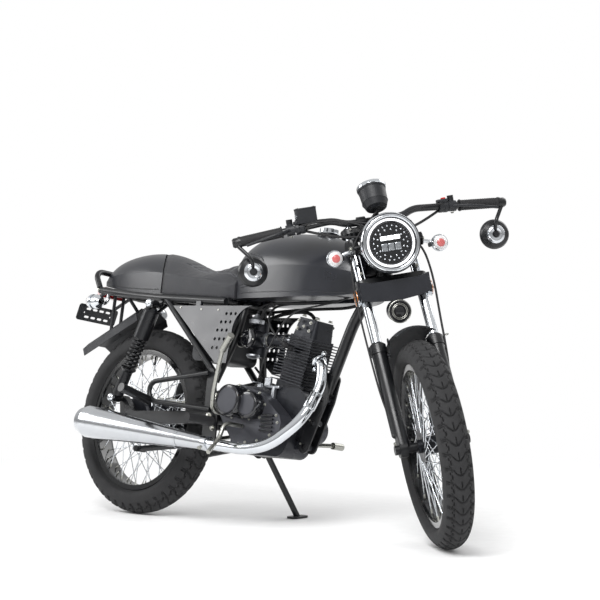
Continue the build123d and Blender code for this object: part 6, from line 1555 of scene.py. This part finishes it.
class MOTORCYCLE_OT_wheels(Operator):
    """Adds spoke nipples, valve stems and the drilled brake disc to the wheels"""

    bl_idname = "motorcycle.wheels"
    bl_label = "Wheels"

    def execute(self, context):
        for name, axle in (("front", FRONT_AXLE), ("rear", REAR_AXLE)):
            body = f"{name}_wheel"
            piece(f"{name}_nipples", self.nipples(name, axle, HOMES[body].inverted()), body, "zinc")
            turned(f"{name}_valve", axle + UP * VALVE_RADIUS, -UP, VALVE, body, "hose", 16, 40)
        bolts = bolt_circle(FRONT_AXLE + TO_LEFT * 52, TO_LEFT, 45, 6, WHEEL_BOLT)
        piece("disc_bolts", bolts, "front_wheel", "zinc")
        edge = [
            torus(FRONT_AXLE + TO_LEFT * y, TO_LEFT, radius, tube, 96, 8) for y, radius, tube in DISC_RINGS
        ]
        piece("disc_rim", joined(edge), "front_wheel", "disc")
        faces = [drilled_ring(FRONT_AXLE + TO_LEFT * y, TO_LEFT, *DISC) for y in DISC_FACES]
        piece("disc_faces", joined(faces), "front_wheel", "disc")
        nuts = bolt_circle(REAR_AXLE + TO_LEFT * 66, TO_LEFT, 58, 6, WHEEL_BOLT)
        piece("sprocket_bolts", nuts, "rear_wheel", "zinc")
        return {"FINISHED"}

    def nipples(self, name, axle, to_drawing):
        """Nipples at the rim end of every spoke of the CAD wheel."""
        shapes = []
        for group in islands(frame["nodes"][f"{name}_spokes"].data):
            places = [to_drawing @ point for point in group]
            reach = [(place - axle).length for place in places]
            if max(reach) < SPOKE_REACH:
                continue
            outer = [place for place, away in zip(places, reach) if away > max(reach) - SPOKE_END]
            inner = [place for place, away in zip(places, reach) if away < min(reach) + SPOKE_END]
            tip = sum(outer, Vector()) / len(outer)
            run = (sum(inner, Vector()) / len(inner) - tip).normalized()
            shapes.append(lathe(tip - run, tip, NIPPLE, 10))
        return joined(shapes)


# Chassis: places along and up
SHOCK_ENDS = ((111, 699), (-21, 376))
SHOCK_CAP = [(-4, 13), (1, 14), (4, 13), (8, 10), (9, 6)]
# Frame bolts on the left, with the radius and height of the head
FRAME_BOLTS = (
    ((230, 122, 690), 3.5, 3), ((330, 122, 684), 3.5, 3), ((410, 122, 682), 3.5, 3),
    ((425, 124, 335), 9, 8), ((-228, 102, 756), 4, 4), ((164, 158, 372), 6, 6),
)
DOWNTUBE_BOLTS = ((743, 21.5, 276), (771, 21.5, 351), (798, 21.5, 426))
SEAM_Z, SEAM_SPAN = 742, range(470, 921, 18)
KNEE_ROUTE = ((500, 872), (560, 862), (590, 838), (596, 806), (578, 776), (520, 764), (478, 762))
# Ridges of the knee grooves: shift to the rear, how far the loop shrinks in height, and radius
KNEE_RIDGES = ((0, 0, 2.6), (14, -12, 1.8))
KNEE_MIDDLE = 800
HEM_ROUTE = ((-236, 790), (-180, 776), (-110, 766), (-40, 760), (40, 756), (84, 756))
GUARD_ROUTE = (-90, -160, -240, -300)
BESIDE_TANK, BESIDE_COWL, ABOVE_GUARD = 300, 260, 900
FILLER = Vector((742, 0, 946))
FILLER_RING = [(0, 37), (2, 38), (4, 36), (4.4, 33)]
LOCK_PLATE = [(0, 27), (2.5, 25), (3, 22)]
LOCK_BOSS = [(0, 9), (2, 8.5), (2.4, 5)]
LOCK_SCREW = (2, 1.2)


def traced(tree, places, towards, proud):
    """Line of places laid on a surface of the frame, without those that miss it."""
    spots = [laid(tree, "frame", place, towards, proud) for place in places]
    return [spot for spot in spots if spot]


class MOTORCYCLE_OT_chassis(Operator):
    """Adds the frame's bolts, shock caps, tank seam and grooves, and tail trim"""

    bl_idname = "motorcycle.chassis"
    bl_label = "Chassis"

    def execute(self, context):
        self.fasteners()
        tank, cowl = skin_of("tank"), skin_of("tail_cowl")
        for side, word in SIDES.items():
            inward, reach = TO_LEFT * -side, side * BESIDE_TANK
            seam = traced(tank, [(x, reach, SEAM_Z) for x in SEAM_SPAN], inward, 0.4)
            wire(f"tank_seam_{word}", seam, 1.6, "frame", "lacquer")
            for row, (back, drop, radius) in enumerate(KNEE_RIDGES):
                route = [
                    (x - back, reach, z + drop * (0.4 if z > KNEE_MIDDLE else -0.6)) for x, z in KNEE_ROUTE
                ]
                wire(f"knee_ridge_{word}_{row}", traced(tank, route, inward, 0.3), radius, "frame", "lacquer")
            hem = traced(cowl, [(x, side * BESIDE_COWL, z) for x, z in HEM_ROUTE], inward, 0.2)
            wire(f"cowl_hem_{word}", hem, 1.5, "frame", "powder")
        self.filler()
        ridge = traced(skin_of("rear_mudguard"), [(x, 0, ABOVE_GUARD) for x in GUARD_ROUTE], -UP, 0.6)
        wire("mudguard_ridge", ridge, 2.4, "frame", "plastic")
        return {"FINISHED"}

    def fasteners(self):
        """Caps of the shock absorbers and bolts of the frame."""
        caps, bolts = [], []
        for side in SIDES:
            out = TO_LEFT * side
            for x, z in SHOCK_ENDS:
                foot = Vector((x, side * 160, z))
                caps.append(lathe(foot, foot + out, SHOCK_CAP, 28))
            bolts += [bolt(beside(side, place), out, *size) for place, *size in FRAME_BOLTS]
        for side in SIDES:
            bolts += [bolt(beside(side, place), TO_LEFT * side, 3, 3) for place in DOWNTUBE_BOLTS]
        piece("shock_caps", joined(caps), "frame", "chrome", angle=40)
        piece("frame_bolts", joined(bolts), "frame", "zinc")

    def filler(self):
        """Ring and lock of the filler cap."""
        turned("filler_ring", FILLER, UP, FILLER_RING, "frame", "chrome", angle=40)
        plate, boss, screws = FILLER + UP * 16, FILLER + UP * 18, FILLER + UP * 17
        lock = [
            lathe(plate, plate + UP, LOCK_PLATE, 40),
            lathe(boss, boss + UP, LOCK_BOSS, 24),
            bolt_circle(screws, UP, 21, 6, LOCK_SCREW),
        ]
        piece("filler_lock", joined(lock), "frame", "stainless", angle=40)


SETTINGS = {
    "motorcycle_wheels": WheelSettings,
    "motorcycle_seat": SeatSettings,
    "motorcycle_stage": StageSettings,
}
OPERATORS = (
    MOTORCYCLE_OT_stage,
    MOTORCYCLE_OT_finishes,
    MOTORCYCLE_OT_tyres,
    MOTORCYCLE_OT_seat,
    MOTORCYCLE_OT_headlamp,
    MOTORCYCLE_OT_lamps,
    MOTORCYCLE_OT_controls,
    MOTORCYCLE_OT_engine,
    MOTORCYCLE_OT_exhaust,
    MOTORCYCLE_OT_fork,
    MOTORCYCLE_OT_wheels,
    MOTORCYCLE_OT_chassis,
)


class MOTORCYCLE_PT_pieces(Panel):
    """Lists the pieces of the motorcycle"""

    bl_idname = "MOTORCYCLE_PT_pieces"
    bl_label = "Motorcycle"
    bl_space_type = "VIEW_3D"
    bl_region_type = "UI"
    bl_category = "Motorcycle"

    def draw(self, context):
        for operator in OPERATORS:
            self.layout.operator(operator.bl_idname)
        for name, group in SETTINGS.items():
            for size in group.__annotations__:
                self.layout.prop(getattr(context.scene, name), size)


def register():
    """Registers the settings, operators and panel."""
    for name, group in SETTINGS.items():
        bpy.utils.register_class(group)
        setattr(bpy.types.Scene, name, PointerProperty(type=group))
    for operator in (*OPERATORS, MOTORCYCLE_PT_pieces):
        bpy.utils.register_class(operator)


def unregister():
    """Removes the settings, operators and panel."""
    for operator in reversed((*OPERATORS, MOTORCYCLE_PT_pieces)):
        bpy.utils.unregister_class(operator)
    for name, group in SETTINGS.items():
        delattr(bpy.types.Scene, name)
        bpy.utils.unregister_class(group)


def main():
    """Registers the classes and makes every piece."""
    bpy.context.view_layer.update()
    register()
    bpy.ops.motorcycle.stage()
    bpy.ops.motorcycle.finishes()
    bpy.ops.motorcycle.tyres()
    bpy.ops.motorcycle.seat()
    bpy.ops.motorcycle.headlamp()
    bpy.ops.motorcycle.lamps()
    bpy.ops.motorcycle.controls()
    bpy.ops.motorcycle.engine()
    bpy.ops.motorcycle.exhaust()
    bpy.ops.motorcycle.fork()
    bpy.ops.motorcycle.wheels()
    bpy.ops.motorcycle.chassis()


if __name__ == "__main__":
    main()
